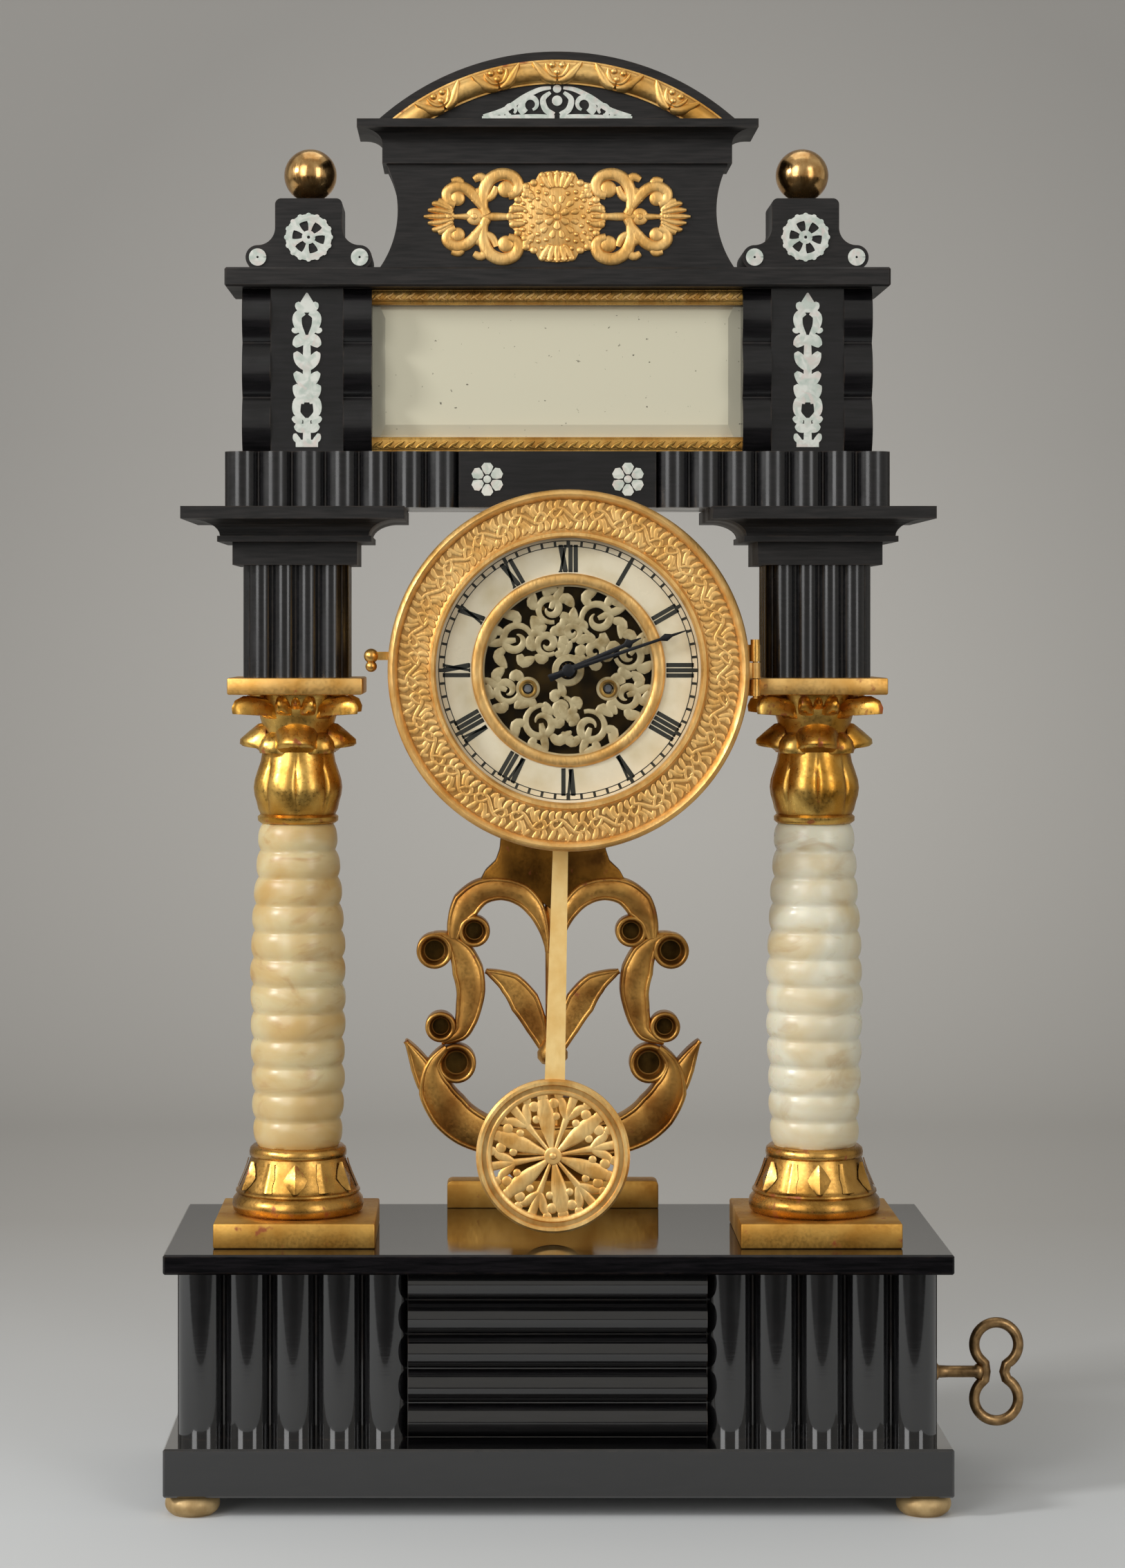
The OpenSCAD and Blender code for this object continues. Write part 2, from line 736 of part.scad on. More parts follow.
// Turned core of the capital: collar, bulb, neck, bell
function capital_profile() = let (
    h = capital_h,
    b = bulb_d / 2,
    c = shaft_top_d / 2)
  [[rod_bore, 0], [c - 0.6, 0], [c, 1.2], [c, 3], [c - 0.8, 4], [b - 1.2, 7], [b, 12], [b - 0.2, h * 0.3],
    [b - 1.6, h * 0.4], [b - 4, h * 0.52], [b - 4.4, h * 0.58], [b - 3.6, h * 0.66], [b - 3, h * 0.76],
    [b - 1.4, h * 0.88], [b + 2, h], [rod_bore, h]];

// Leaf that curls outwards, seen from its side: foot at the core, tip at radius r
module capital_leaf(core, r, z0, z1, w) {
  mid = (core + r) / 2;
  rotate([90, 0, 0])
    linear_extrude(height = w, center = true)
      polygon([[core - 2, z0], [core + 1, z0], [mid + 0.6, z0 + (z1 - z0) * 0.45], [r - 1.4, z1 - 4.4],
        [r, z1 - 5], [r, z1 - 2.4], [r - 2.2, z1 - 0.4], [mid - 0.6, z1], [core - 2, z1 - 1]]);
}

module capitals() {
  core = bulb_d / 2 - 4;
  color(gilt)
    both_sides(column_x)
      translate([0, column_y, capital_z]) {
        rotate_extrude() polygon(capital_profile());
        for (i = [0:leaf_count - 1])
          rotate(i * 360 / leaf_count) {
            capital_leaf(core, lower_leaf_d / 2, capital_h * 0.5, capital_h * 0.76, 8);
            rotate(180 / leaf_count)
              capital_leaf(core, upper_leaf_d / 2, capital_h * 0.72, capital_h, 9);
          }
      }
}

module abaci() {
  color(gilt)
    both_sides(column_x)
      difference() {
        board(abacus_w, column_y - abacus_w / 2, column_y + abacus_w / 2, abacus_z, block_z);
        translate([0, column_y, abacus_z - 1]) cylinder(r = rod_bore, h = abacus_h + 2);
      }
}

module reeded_blocks() {
  core = block_w - 2 * block_reed_rise;
  color(black)
    both_sides(column_x)
      translate([0, column_y, block_z])
        linear_extrude(height = block_h)
          difference() {
            union() {
              square(core, center = true);
              for (a = [0:90:270])
                rotate(a)
                  translate([0, -core / 2])
                    reed_row(block_reeds, core / block_reeds, block_reed_rise, 1);
            }
            circle(r = rod_bore);
          }
}

// Half outline of the impost: plain band, lower lip, hollow and top lip
module impost_outline() {
  lip = impost_h * 0.17;
  top = impost_h * 0.36;
  hollow = impost_h - lip - top;
  flare = (impost_w - impost_lip_w) / 2 - 3;
  square([band_w / 2, band_h]);
  translate([0, band_h]) square([impost_lip_w / 2, lip]);
  translate([0, band_h + impost_h - top]) square([impost_w / 2, top]);
  polygon(concat([[0, band_h + lip - eps]],
    [for (i = [0:8]) [impost_lip_w / 2 - 1 + (flare + 1) * (1 - cos(90 * i / 8)),
      band_h + lip + hollow * sin(90 * i / 8)]],
    [[0, band_h + lip + hollow + eps]]));
}

module whole_outline() {
  children();
  mirror([1, 0]) children();
}

module imposts() {
  color(black)
    both_sides(column_x)
      translate([0, column_y, band_z])
        difference() {
          intersection() {
            rotate([90, 0, 0])
              linear_extrude(height = impost_w, center = true) whole_outline() impost_outline();
            rotate([90, 0, 90])
              linear_extrude(height = impost_w, center = true) whole_outline() impost_outline();
          }
          translate([0, 0, -1]) cylinder(r = rod_bore, h = band_h + impost_h + 2);
        }
}

module tie_rods() {
  color(steel)
    both_sides(column_x)
      translate([0, column_y, 0]) {
        translate([0, 0, slab_z - nut_t]) cylinder(r = rod_d / 2, h = frieze_z + 8 - slab_z + nut_t);
        translate([0, 0, slab_z - nut_t]) cylinder(r = nut_r, h = nut_t, $fn = 6);
      }
}

module frieze() {
  side_w = (frieze_w - frieze_plain_w) / 2;
  core_y = frieze_front + frieze_reed_rise;
  color(black)
    difference() {
      union() {
        box(frieze_w, core_y, frieze_back, frieze_z, attic_z);
        box(frieze_plain_w, frieze_front + 1, core_y + 1, frieze_z, attic_z);
        for (side = [-1, 1])
          translate([side * (frieze_plain_w + side_w) / 2, core_y, frieze_z])
            linear_extrude(height = frieze_h)
              reed_row(frieze_reeds, side_w / frieze_reeds, frieze_reed_rise, 1);
      }
      both_sides(column_x) translate([0, column_y, frieze_z - 1]) cylinder(r = rod_bore, h = 9.1);
    }
}

module attic_piers() {
  pier_x = (pier_in + pier_out) / 2;
  panel_w = pier_w - 2 * wave_w;
  color(black)
    for (side = [-1, 1]) {
      box(pier_w, wave_base, pier_back, attic_z, attic_cornice_z, side * pier_x);
      box(panel_w, pier_front, wave_base + 1, attic_z, attic_cornice_z, side * pier_x);
      for (edge = [-1, 1])
        translate([side * pier_x + edge * (panel_w + wave_w) / 2 - wave_w / 2, wave_base,
          attic_z + attic_h / 2])
          rotate([0, 90, 0])
            linear_extrude(height = wave_w) reed_row(wave_count, attic_h / wave_count, wave_rise, 1);
    }
}

module mirror_board() {
  color(black)
    box(2 * pier_in, mirror_back, mirror_back + mirror_board_t, attic_z, attic_cornice_z);
}

module mirror_glass() {
  w = pier_in;
  h = attic_h / 2;
  edge = mirror_t / 2;
  color(mirror_grey)
    translate([0, 0, attic_z + h])
      intersection() {
        box(2 * w, mirror_front, mirror_back, -h, h);
        translate([0, 0, -h])
          linear_extrude(height = 2 * h)
            polygon([[-w, mirror_back], [-w, mirror_front + edge], [mirror_bevel - w, mirror_front],
              [w - mirror_bevel, mirror_front], [w, mirror_front + edge], [w, mirror_back]]);
        rotate([90, 0, 90])
          linear_extrude(height = 2 * w, center = true)
            polygon([[mirror_back, -h], [mirror_front + edge, -h],
              [mirror_front, mirror_moulding_h + mirror_bevel - h],
              [mirror_front, h - mirror_moulding_h - mirror_bevel], [mirror_front + edge, h],
              [mirror_back, h]]);
      }
}

module mirror_mouldings() {
  d = mirror_recess - 3;
  r = mirror_moulding_h / 2;
  color(gilt)
    for (z = [attic_z, attic_cornice_z - mirror_moulding_h])
      translate([0, mirror_front, z]) {
        box(2 * pier_in, r - d, 0, 0, mirror_moulding_h);
        intersection() {
          rod_x(r, -pier_in, pier_in, r - d, r);
          box(2 * pier_in, -d, r - d + eps, 0, mirror_moulding_h);
        }
      }
}

module attic_cornice() {
  color(black) board(frieze_w, frieze_front, frieze_back, attic_cornice_z, crest_z);
}

// Pedestal outline: upright with round shoulders, hollow sides and two lobes
module pedestal_outline() {
  half = pedestal_w / 2;
  shoulder = 2.4;
  lobe_x = half + lobe_r + 2;
  hollow = lobe_x - half;
  square_h = pedestal_h - shoulder;
  translate([-half, 0]) square([pedestal_w, square_h]);
  translate([shoulder - half, 0]) square([pedestal_w - 2 * shoulder, pedestal_h]);
  for (side = [-1, 1]) {
    translate([side * (half - shoulder), square_h]) circle(r = shoulder);
    translate([side * lobe_x, lobe_r]) circle(r = lobe_r);
    translate([side * lobe_x / 2, lobe_r]) square([lobe_x, 2 * lobe_r - eps], center = true);
    difference() {
      translate([side * (half + hollow / 2), 2 * lobe_r + hollow / 2 - eps]) square(hollow, center = true);
      translate([side * lobe_x, 2 * lobe_r + hollow]) circle(r = hollow + eps);
    }
  }
}

module ball_pedestals() {
  color(black)
    difference() {
      both_sides(ball_x)
        translate([0, 0, crest_z]) upright(crest_front, crest_back) pedestal_outline();
      both_sides(ball_x)
        translate([0, (crest_front + crest_back) / 2, crest_z + pedestal_h - 8])
          cylinder(r = 2 + run_gap, h = 9);
    }
}

module gilt_balls() {
  color(gilt)
    both_sides(ball_x)
      translate([0, (crest_front + crest_back) / 2, crest_z + pedestal_h]) {
        translate([0, 0, ball_d / 2 + 0.3]) sphere(d = ball_d);
        cylinder(r = 3, h = 2);
        translate([0, 0, -7.5]) cylinder(r = 2, h = 9);
      }
}

module crest_panel() {
  waist_up = crest_h * 0.56;
  depth = crest_half_w - crest_waist;
  r = (depth ^ 2 + waist_up ^ 2) / (2 * depth);
  color(black)
    translate([0, 0, crest_z])
      upright(crest_front, crest_back)
        difference() {
          translate([-crest_half_w, 0]) square([2 * crest_half_w, crest_h]);
          for (side = [-1, 1]) translate([side * (crest_waist + r), waist_up]) circle(r = r);
        }
}

// Half outline of the crest's fascia and cornice, out from the panel's face
module crest_outline(half) {
  lip = crest_cornice_h * 0.4;
  out = crest_cornice_out;
  square([half, fascia_h + crest_cornice_h]);
  translate([0, fascia_h + crest_cornice_h - lip]) square([half + out, lip]);
  polygon(concat([[0, fascia_h - eps]],
    [for (i = [0:6]) [half + out * 0.75 * (1 - cos(90 * i / 6)),
      fascia_h + (crest_cornice_h - lip + eps) * sin(90 * i / 6)]],
    [[0, fascia_h + crest_cornice_h]]));
}

module crest_cornice() {
  half = crest_half_w - 1.5;
  color(black)
    translate([0, 0, fascia_z])
      intersection() {
        upright(crest_front - crest_cornice_out - 2, crest_back) whole_outline() crest_outline(half);
        translate([0, crest_back, 0])
          rotate([90, 0, 90])
            linear_extrude(height = 2 * (half + crest_cornice_out), center = true)
              mirror([1, 0]) crest_outline(crest_d + 2);
      }
}

pediment_r = arc_radius(2 * pediment_half, pediment_rise);

module pediment_board() {
  color(black)
    translate([0, 0, pediment_z])
      upright(crest_front, crest_back)
        intersection() {
          translate([0, pediment_rise - pediment_r]) circle(r = pediment_r);
          translate([-pediment_half, 0]) square([2 * pediment_half, pediment_rise]);
        }
}

module pediment_moulding() {
  r = pediment_r - pediment_border - band_gilt_w / 2;
  low = pediment_r - pediment_rise;
  half_angle = acos((low - band_gilt_w * 0.6) / r);
  color(gilt)
    intersection() {
      translate([0, crest_front, pediment_z - low])
        rotate([90, 0, 0])
          rotate([0, 0, 90 - half_angle])
            rotate_extrude(angle = 2 * half_angle)
              translate([r, 0])
                intersection() {
                  circle(d = band_gilt_w);
                  translate([-band_gilt_w / 2, 0]) square([band_gilt_w, band_gilt_w]);
                }
      box(base_w, crest_front - band_gilt_w, crest_front + 1, pediment_z, pediment_z + 2 * pediment_rise);
    }
}

// Ring drawn flat
module flat_ring(r, w) {
  difference() {
    circle(r = r + w / 2);
    circle(r = r - w / 2);
  }
}

// Rosette of round petals
module petals(count, r, petal_r) {
  for (i = [0:count - 1]) rotate(i * 360 / count) translate([r, 0]) circle(r = petal_r);
  circle(r = r);
}

module crest_mount() {
  rosette = mount_h / 2;
  scroll = mount_h * 0.22;
  scroll_x = mount_w * 0.27;
  end_x = mount_w / 2 - mount_h * 0.11;
  color(brass)
    translate([0, 0, crest_z + crest_h / 2])
      upright(crest_front - mount_t, crest_front) {
        petals(8, rosette * 0.72, rosette * 0.28);
        for (side = [-1, 1]) {
          for (up = [-1, 1])
            translate([side * scroll_x, up * mount_h * 0.25]) {
              flat_ring(scroll - 1, 2.4);
              circle(r = scroll * 0.4);
              translate([-scroll / 2, 0]) square([scroll, 1.6], center = true);
            }
          translate([side * mount_w * 0.29, 0]) square([mount_w * 0.27, 3], center = true);
          translate([side * end_x, 0]) circle(r = mount_h * 0.11);
          for (up = [-1, 1])
            translate([side * (end_x - 4.5), up * mount_h * 0.13]) circle(r = mount_h * 0.09);
        }
      }
}

module pearl_inlays() {
  pier_x = (pier_in + pier_out) / 2;
  lobe_x = pedestal_w / 2 + lobe_r + 2;
  rise = attic_h * 0.46;
  fan_w = pediment_half * 0.418;
  fan_h = pediment_rise * 0.527;
  color(pearl) {
    both_sides(frieze_plain_w * 0.357)
      translate([0, 0, frieze_z + frieze_h / 2])
        upright(frieze_front + 1 - pearl_t, frieze_front + 1) petals(6, 4, 2.5);
    both_sides(pier_x)
      translate([0, 0, attic_z + attic_h / 2])
        upright(pier_front - pearl_t, pier_front)
          difference() {
            union() {
              for (k = [-0.8, -0.28, 0.24, 0.72])
                translate([0, k * rise]) petals(4, 3.4, 3);
              square([4, 2 * rise], center = true);
            }
            for (k = [-0.28, 0.72]) translate([0, k * rise]) circle(r = 1.8);
          }
    both_sides(ball_x)
      translate([0, 0, crest_z])
        upright(crest_front - pearl_t, crest_front) {
          translate([0, pedestal_h * 0.45])
            difference() {
              petals(12, 7.6, 1.9);
              for (i = [0:7]) rotate(i * 45) translate([4.9, 0]) circle(r = 1.4);
            }
          for (side = [-1, 1]) translate([side * lobe_x, lobe_r]) circle(r = lobe_r - 0.5);
        }
    translate([0, 0, pediment_z])
      upright(crest_front - pearl_t, crest_front)
        difference() {
          polygon([[-fan_w, 1.5], [fan_w, 1.5], [0.68 * fan_w, 0.42 * fan_h], [0.27 * fan_w, 0.86 * fan_h],
            [0, fan_h], [-0.27 * fan_w, 0.86 * fan_h], [-0.68 * fan_w, 0.42 * fan_h]]);
          for (k = [-0.6, -0.3, 0.3, 0.6]) translate([k * fan_w, 0.29 * fan_h]) circle(r = 1.8);
        }
  }
}

// Lyre outline on one side, over its foot and for a foot of the drawn width: arms, volutes and tulip leaf
module lyre_half() {
  band = arm_w / lyre_unit;
  arc_band([-20, 214], 17.2, band, 2, 190);
  arc_band([-56, 189], 23.8, band, -52, 46);
  arc_band([-20, 160], 29.5, band + 2, 176, 292);
  for (v = [[-32, 214, 6.6], [-47.5, 206, 7.7], [-45.5, 174.8, 6.5], [-39, 160, 8.1]])
    translate([v[0], v[1]]) circle(r = v[2]);
  polygon(concat([[-60, 168.5]], arc_points([-20, 160], 36, 178, 200, 4), arc_points([-20, 160], 28, 200, 172, 4)));
  polygon(concat([[-27.5, 197.4], [-14, 195.4], [-4, 189], [-4, 163]], arc_points([-49, 163], 43, 5, 50, 6)));
}

module lyre_stand() {
  foot_top = top_z + lyre_foot_h;
  neck = neck_half / lyre_unit;
  neck_top = lyre_drawn_z + (dial_z - foot_top) / lyre_unit;
  side_r = 38 - neck;
  stem = 6.4;
  knob = 13;
  ease = 1.6;
  color(gilt) {
    upright(lyre_y, back_y)
      translate([0, top_z]) {
        translate([-lyre_foot_w / 2, 0]) square([lyre_foot_w, lyre_foot_h - ease]);
        translate([ease - lyre_foot_w / 2, 0]) square([lyre_foot_w - 2 * ease, lyre_foot_h]);
        for (side = [-1, 1])
          translate([side * (lyre_foot_w / 2 - ease), lyre_foot_h - ease]) circle(r = ease);
      }
    difference() {
      upright(lyre_y, back_y)
        translate([0, foot_top])
          scale(lyre_unit)
            translate([0, -lyre_drawn_z]) {
              whole_outline() lyre_half();
              translate([-stem / 2, 128]) square([stem, 106]);
              translate([-knob / 2, 159]) square([knob, 9]);
              polygon(concat([[-18, lyre_drawn_z - eps], [18, lyre_drawn_z - eps]],
                arc_points([25, 127], 15, 240, 180, 4), [[8, 136], [-8, 136]],
                arc_points([-25, 127], 15, 0, -60, 4)));
              polygon(concat([[-30, 226], [-30, 236]], arc_points([-38, 252], side_r, -50, 0, 5),
                [[-neck, neck_top], [neck, neck_top]], arc_points([38, 252], side_r, 180, 230, 5),
                [[30, 236], [30, 226], [18, 231], [0, 218], [-18, 231]]));
            }
      rod_y(drum_r + 0.1, lyre_y - 1, back_y + 1, clock_x, dial_z);
    }
  }
}

module drum() {
  slot_half = drum_r * 0.2;
  hanger_w = drum_r / 2;
  hanger_d = frieze_d * 0.55;
  hanger_sink = 6;
  color(gilt)
    difference() {
      union() {
        rod_y(drum_r, flange_y + 0.2, drum_back, clock_x, dial_z);
        rod_y(flange_r, flange_y + 0.2, drum_front, clock_x, dial_z);
        box(hanger_w, frieze_front + 2, frieze_front + 2 + hanger_d, dial_z + drum_r - hanger_sink, frieze_z,
          clock_x);
        rod_y(catch_pin_r, drum_front - 1, drum_front + 2.6, catch_x, catch_z);
      }
      rod_y(drum_bore, drum_front + 4, drum_back + 1, clock_x, dial_z);
      rod_y(drum_bore - 3, flange_y - 1, drum_back, clock_x, dial_z);
      rod_y(drum_bore - 1, flange_y - 1, skeleton_back, clock_x, dial_z);
      box(2 * slot_half, pendulum_y - 5, pendulum_y + 5, dial_z - drum_r - 10, dial_z - drum_r / 2, clock_x);
    }
}

module drum_cover() {
  color(gilt) {
    rod_y(drum_r - 0.5, drum_back, drum_back + 1.5, clock_x, dial_z);
    rod_y(4, drum_back + 1, back_y - 0.5, clock_x, dial_z + drum_bore * 0.6);
  }
}

// Bezel cross-section: radius across, thickness up; hollow face with two raised rims
module bezel_outline() {
  w = bezel_r - sight_r;
  difference() {
    union() {
      translate([sight_r, 0]) square([w - 2, bezel_t * 0.72]);
      translate([sight_r + 1.6, bezel_t * 0.6]) circle(r = 1.6);
      translate([bezel_r - bezel_t * 0.38, bezel_t * 0.62]) circle(r = bezel_t * 0.38);
      translate([bezel_r - bezel_t * 0.6, 0]) square([bezel_t * 0.6, bezel_t * 0.62]);
    }
    translate([sight_r - 1, flange_y - glass_y - glass_t]) square([2.2, glass_t + 0.1]);
  }
}

module bezel() {
  knuckle = hinge_h / 3;
  pin_y = flange_y - hinge_r;
  color(gilt) {
    difference() {
      translate([clock_x, flange_y, dial_z]) rotate([90, 0, 0]) rotate_extrude() bezel_outline();
      translate([hinge_x, pin_y, dial_z - hinge_h / 2])
        cylinder(r = hinge_r + 0.3, h = hinge_h);
    }
    difference() {
      union() {
        translate([hinge_x, pin_y, dial_z - knuckle / 2 + 0.2]) cylinder(r = hinge_r, h = knuckle - 0.4);
        translate([clock_x + bezel_r - 2.5, pin_y - hinge_r, dial_z - knuckle / 2 + 0.2])
          cube([hinge_x - clock_x - bezel_r + 2.5, hinge_r * 1.5, knuckle - 0.4]);
      }
      translate([hinge_x, pin_y, dial_z - knuckle]) cylinder(r = 1 + run_gap, h = 2 * knuckle);
    }
  }
}

module bezel_glass() {
  color([0.85, 0.9, 0.92, 0.25]) rod_y(sight_r + 1.1, glass_y, glass_y + glass_t, clock_x, dial_z);
}

// Fixed knuckles, leaf and pin of the bezel's hinge
module bezel_hinge() {
  knuckle = hinge_h / 3;
  pin_y = flange_y - hinge_r;
  color(gilt) {
    for (z = [dial_z - hinge_h / 2, dial_z + knuckle / 2 + 0.1])
      translate([0, 0, z]) {
        translate([hinge_x, pin_y, 0]) cylinder(r = hinge_r, h = knuckle - 0.1);
        translate([hinge_x - 1, pin_y, 0]) cube([hinge_r + 1, hinge_r + flange_t, knuckle - 0.1]);
        translate([clock_x + flange_r - 2, drum_front, 0])
          cube([hinge_x + hinge_r - clock_x - flange_r + 2, 1.5, knuckle - 0.1]);
        translate([hinge_x - 1, flange_y, 0]) cube([hinge_r + 1, flange_t + 1, knuckle - 0.1]);
      }
    translate([hinge_x, pin_y, dial_z - hinge_h / 2 - 1]) cylinder(r = 1, h = hinge_h + 3);
    translate([hinge_x, pin_y, dial_z + hinge_h / 2]) cylinder(r = 1.8, h = 2);
  }
}

// Thumb catch behind the bezel's left edge
module bezel_catch() {
  color(gilt) {
    difference() {
      union() {
        rod_y(3, drum_front + 0.1, drum_front + 2.1, catch_x, catch_z);
        box(13, drum_front + 0.1, drum_front + 2.1, catch_z - 1.6, catch_z + 1.6, catch_x - 6.5);
      }
      rod_y(catch_pin_r + run_gap, drum_front - 1, drum_front + 3, catch_x, catch_z);
    }
    translate([catch_x - 12, drum_front + 1.1, catch_z]) sphere(r = 2.8);
    translate([catch_x - 12, drum_front + 1.1, catch_z - 4]) sphere(r = 2.2);
  }
}

module dial_ring() {
  color(cream)
    translate([clock_x, dial_back, dial_z])
      rotate([90, 0, 0])
        linear_extrude(height = dial_t)
          difference() {
            circle(r = drum_bore - 1.1);
            circle(r = rim_out_r);
          }
}

module dial_rim() {
  color(gilt)
    translate([clock_x, dial_back, dial_z])
      rotate([90, 0, 0])
        rotate_extrude() {
          translate([rim_in_r, 0]) square([rim_out_r - rim_in_r, dial_t]);
          intersection() {
            translate([(rim_in_r + rim_out_r) / 2, dial_t]) circle(r = (rim_out_r - rim_in_r) / 2);
            translate([rim_in_r, 0]) square([rim_out_r - rim_in_r, dial_t + 1.4]);
          }
        }
}

// Pierced plate behind the dial's middle: rim, scrolls and eyes for the arbors
module skeleton_plate() {
  scrolls = 8;
  color(cream)
    translate([clock_x, skeleton_back, dial_z])
      rotate([90, 0, 0])
        linear_extrude(height = skeleton_back - dial_back)
          difference() {
            union() {
              flat_ring((drum_bore - 1.1 + rim_in_r - 0.6) / 2, drum_bore - 0.5 - rim_in_r);
              for (i = [0:scrolls - 1])
                rotate(i * 360 / scrolls) {
                  translate([rim_in_r * 0.68, 0]) flat_ring(rim_in_r * 0.24, 3);
                  translate([rim_in_r * 0.66, 0]) circle(r = 2.6);
                  translate([rim_in_r * 0.72, 0]) square([rim_in_r * 0.6, 2], center = true);
                }
              flat_ring(rim_in_r * 0.3, 6);
              for (side = [-1, 1])
                translate([side * winder_x, -winder_drop]) circle(r = 5);
            }
            circle(r = pipe_r + 1.2 + 0.3);
            for (side = [-1, 1])
              translate([side * winder_x, -winder_drop]) circle(r = winder_r + 0.4);
          }
}

// Places a piece on one of the clock's arbors
module at_arbor(x, z, y) {
  translate([clock_x + x, y, dial_z + z]) children();
}

// Bore for an arbor through one of the movement's plates
module plate_bore(x, z, r) {
  rod_y(r + run_gap, plate_a - 1, plate_b_back + 1, clock_x + x, dial_z + z);
}

module movement_frame() {
  ear = 5;
  color(brass) {
    difference() {
      union() {
        rod_y(plate_r, plate_a, plate_a + plate_t, clock_x, dial_z);
        rod_y(plate_r, plate_b, plate_b_back, clock_x, dial_z);
        for (a = [45:90:315])
          at_arbor((plate_r - ear) * cos(a), (plate_r - ear) * sin(a), 0) {
            rod_y(2.5, plate_a, plate_b_back);
            rod_y(2.5, skeleton_back, plate_a + eps);
          }
        rod_y(stud_r, plate_b, pendulum_y + 3, clock_x, pivot_z);
        rod_y(2.6, pendulum_y + 1.5, pendulum_y + 3, clock_x, pivot_z);
        rod_y(arbor_r, cannon_y - 3.6, plate_a + eps, clock_x + motion_dist * cos(motion_angle),
          dial_z + motion_dist * sin(motion_angle));
        rod_y(stud_r, plate_b, plate_b_back + 4.6, clock_x + hammer_x, dial_z);
      }
      plate_bore(0, 0, hub_r);
      plate_bore(0, third_dist, arbor_r);
      plate_bore(escape_x - clock_x, escape_z - dial_z, arbor_r);
      for (side = [-1, 1]) plate_bore(side * winder_x, -winder_drop, winder_r);
    }
  }
}

// Spring barrel with its great wheel, bored for its arbor
module barrel(side) {
  wheel_y = side > 0 ? great_y : barrel_y + barrel_l - eps;
  color(brass)
    at_arbor(side * winder_x, -winder_drop, 0)
      difference() {
        union() {
          rod_y(barrel_r, barrel_y - eps, barrel_y + barrel_l);
          translate([0, wheel_y, 0])
            rotate([0, -winder_angle - 180, 0]) wheel(great_teeth, great_module, 1);
        }
        rod_y(winder_r + run_gap, great_y - 1, barrel_y + barrel_l + 2);
      }
}

// Winding arbor: round in the plates, square in front for the key
module winding_arbor(side) {
  color(steel)
    at_arbor(side * winder_x, -winder_drop, 0) {
      rod_y(winder_r, skeleton_back + 0.5, plate_b_back);
      box(winder_r * 1.3, dial_front - 0.6, skeleton_back + 0.6, -winder_r * 0.65, winder_r * 0.65);
    }
}

module going_barrel() {
  barrel(1);
}

module going_arbor() {
  winding_arbor(1);
}

module strike_barrel() {
  barrel(-1);
}

module strike_arbor() {
  winding_arbor(-1);
}

module centre_wheel() {
  color(brass)
    at_arbor(0, 0, 0) {
      rod_y(hub_r, minute_hand_y + hand_t, plate_b_back);
      translate([0, centre_y, 0]) rotate([0, -90, 0]) crossed_wheel(centre_teeth, train_module, wheel_t);
      translate([0, great_y - 0.3, 0])
        rotate([0, -winder_angle - 180 / centre_pinion, 0])
          wheel(centre_pinion, great_module, 1.6, 0.6, 1.1);
      translate([0, cannon_y, 0])
        rotate([0, -motion_angle - 180 / cannon_teeth, 0])
          wheel(cannon_teeth, motion_module, 1.2, 0.7, 1.1);
    }
}

module third_wheel() {
  color(brass)
    at_arbor(0, third_dist, 0) {
      rod_y(arbor_r, plate_a, plate_b_back);
      translate([0, third_y, 0])
        rotate([0, -escape_angle, 0]) crossed_wheel(third_teeth, train_module, wheel_t);
      translate([0, centre_y - 0.4, 0])
        rotate([0, 90 - 180 / third_pinion, 0]) wheel(third_pinion, train_module, 1.6, 0.6, 1.1);
    }
}

// Escape wheel: pointed teeth leaning forward
function escape_points() = [for (i = [0:escape_teeth - 1], k = [[0, 0.8], [0.42, 0.8], [0.3, 1]])
  let (a = (i + k[0]) * 360 / escape_teeth) escape_r * k[1] * [cos(a), sin(a)]];

module escape_wheel() {
  color(brass)
    translate([escape_x, 0, escape_z]) {
      rod_y(arbor_r, plate_a, plate_b_back + 1.6);
      translate([0, third_y - 0.4, 0])
        rotate([0, -escape_angle - 180 - 180 / escape_pinion, 0])
          wheel(escape_pinion, train_module, 1.6, 0.6, 1.1);
      translate([0, plate_b_back + 0.6, 0])
        rotate([-90, 0, 0]) linear_extrude(height = wheel_t) polygon(escape_points());
    }
}

// Anchor with two pallets clear of the wheel, and the crutch that embraces the rod
module anchor() {
  aim = atan2(escape_z - pivot_z, escape_x - clock_x);
  reach = anchor_dist - 1;
  crutch_half = (rod_top_w + 0.15 * (rod_w - rod_top_w)) / 2 + 0.6 + 0.3;
  y = plate_b_back + 0.6;
  color(steel)
    difference() {
      translate([clock_x, y, pivot_z])
        rotate([0, pendulum_lean, 0]) {
          rotate([-90, 0, 0])
            linear_extrude(height = wheel_t)
              rotate(-aim) {
                circle(r = 3);
                for (side = [-1, 1])
                  rotate(side * 64) {
                    translate([0, -1]) square([reach, 2]);
                    translate([reach - 2, side > 0 ? -1.8 : 0]) square([2, 1.8]);
                  }
              }
          box(2, 0, wheel_t, -24, 0);
          for (side = [-1, 1])
            rod_y(0.6, 0, pendulum_y - y + 1.2, side * crutch_half, -23);
          box(2 * crutch_half, 0, wheel_t, -24, -22);
        }
      rod_y(stud_r + run_gap, y - 1, y + 2, clock_x, pivot_z);
    }
}

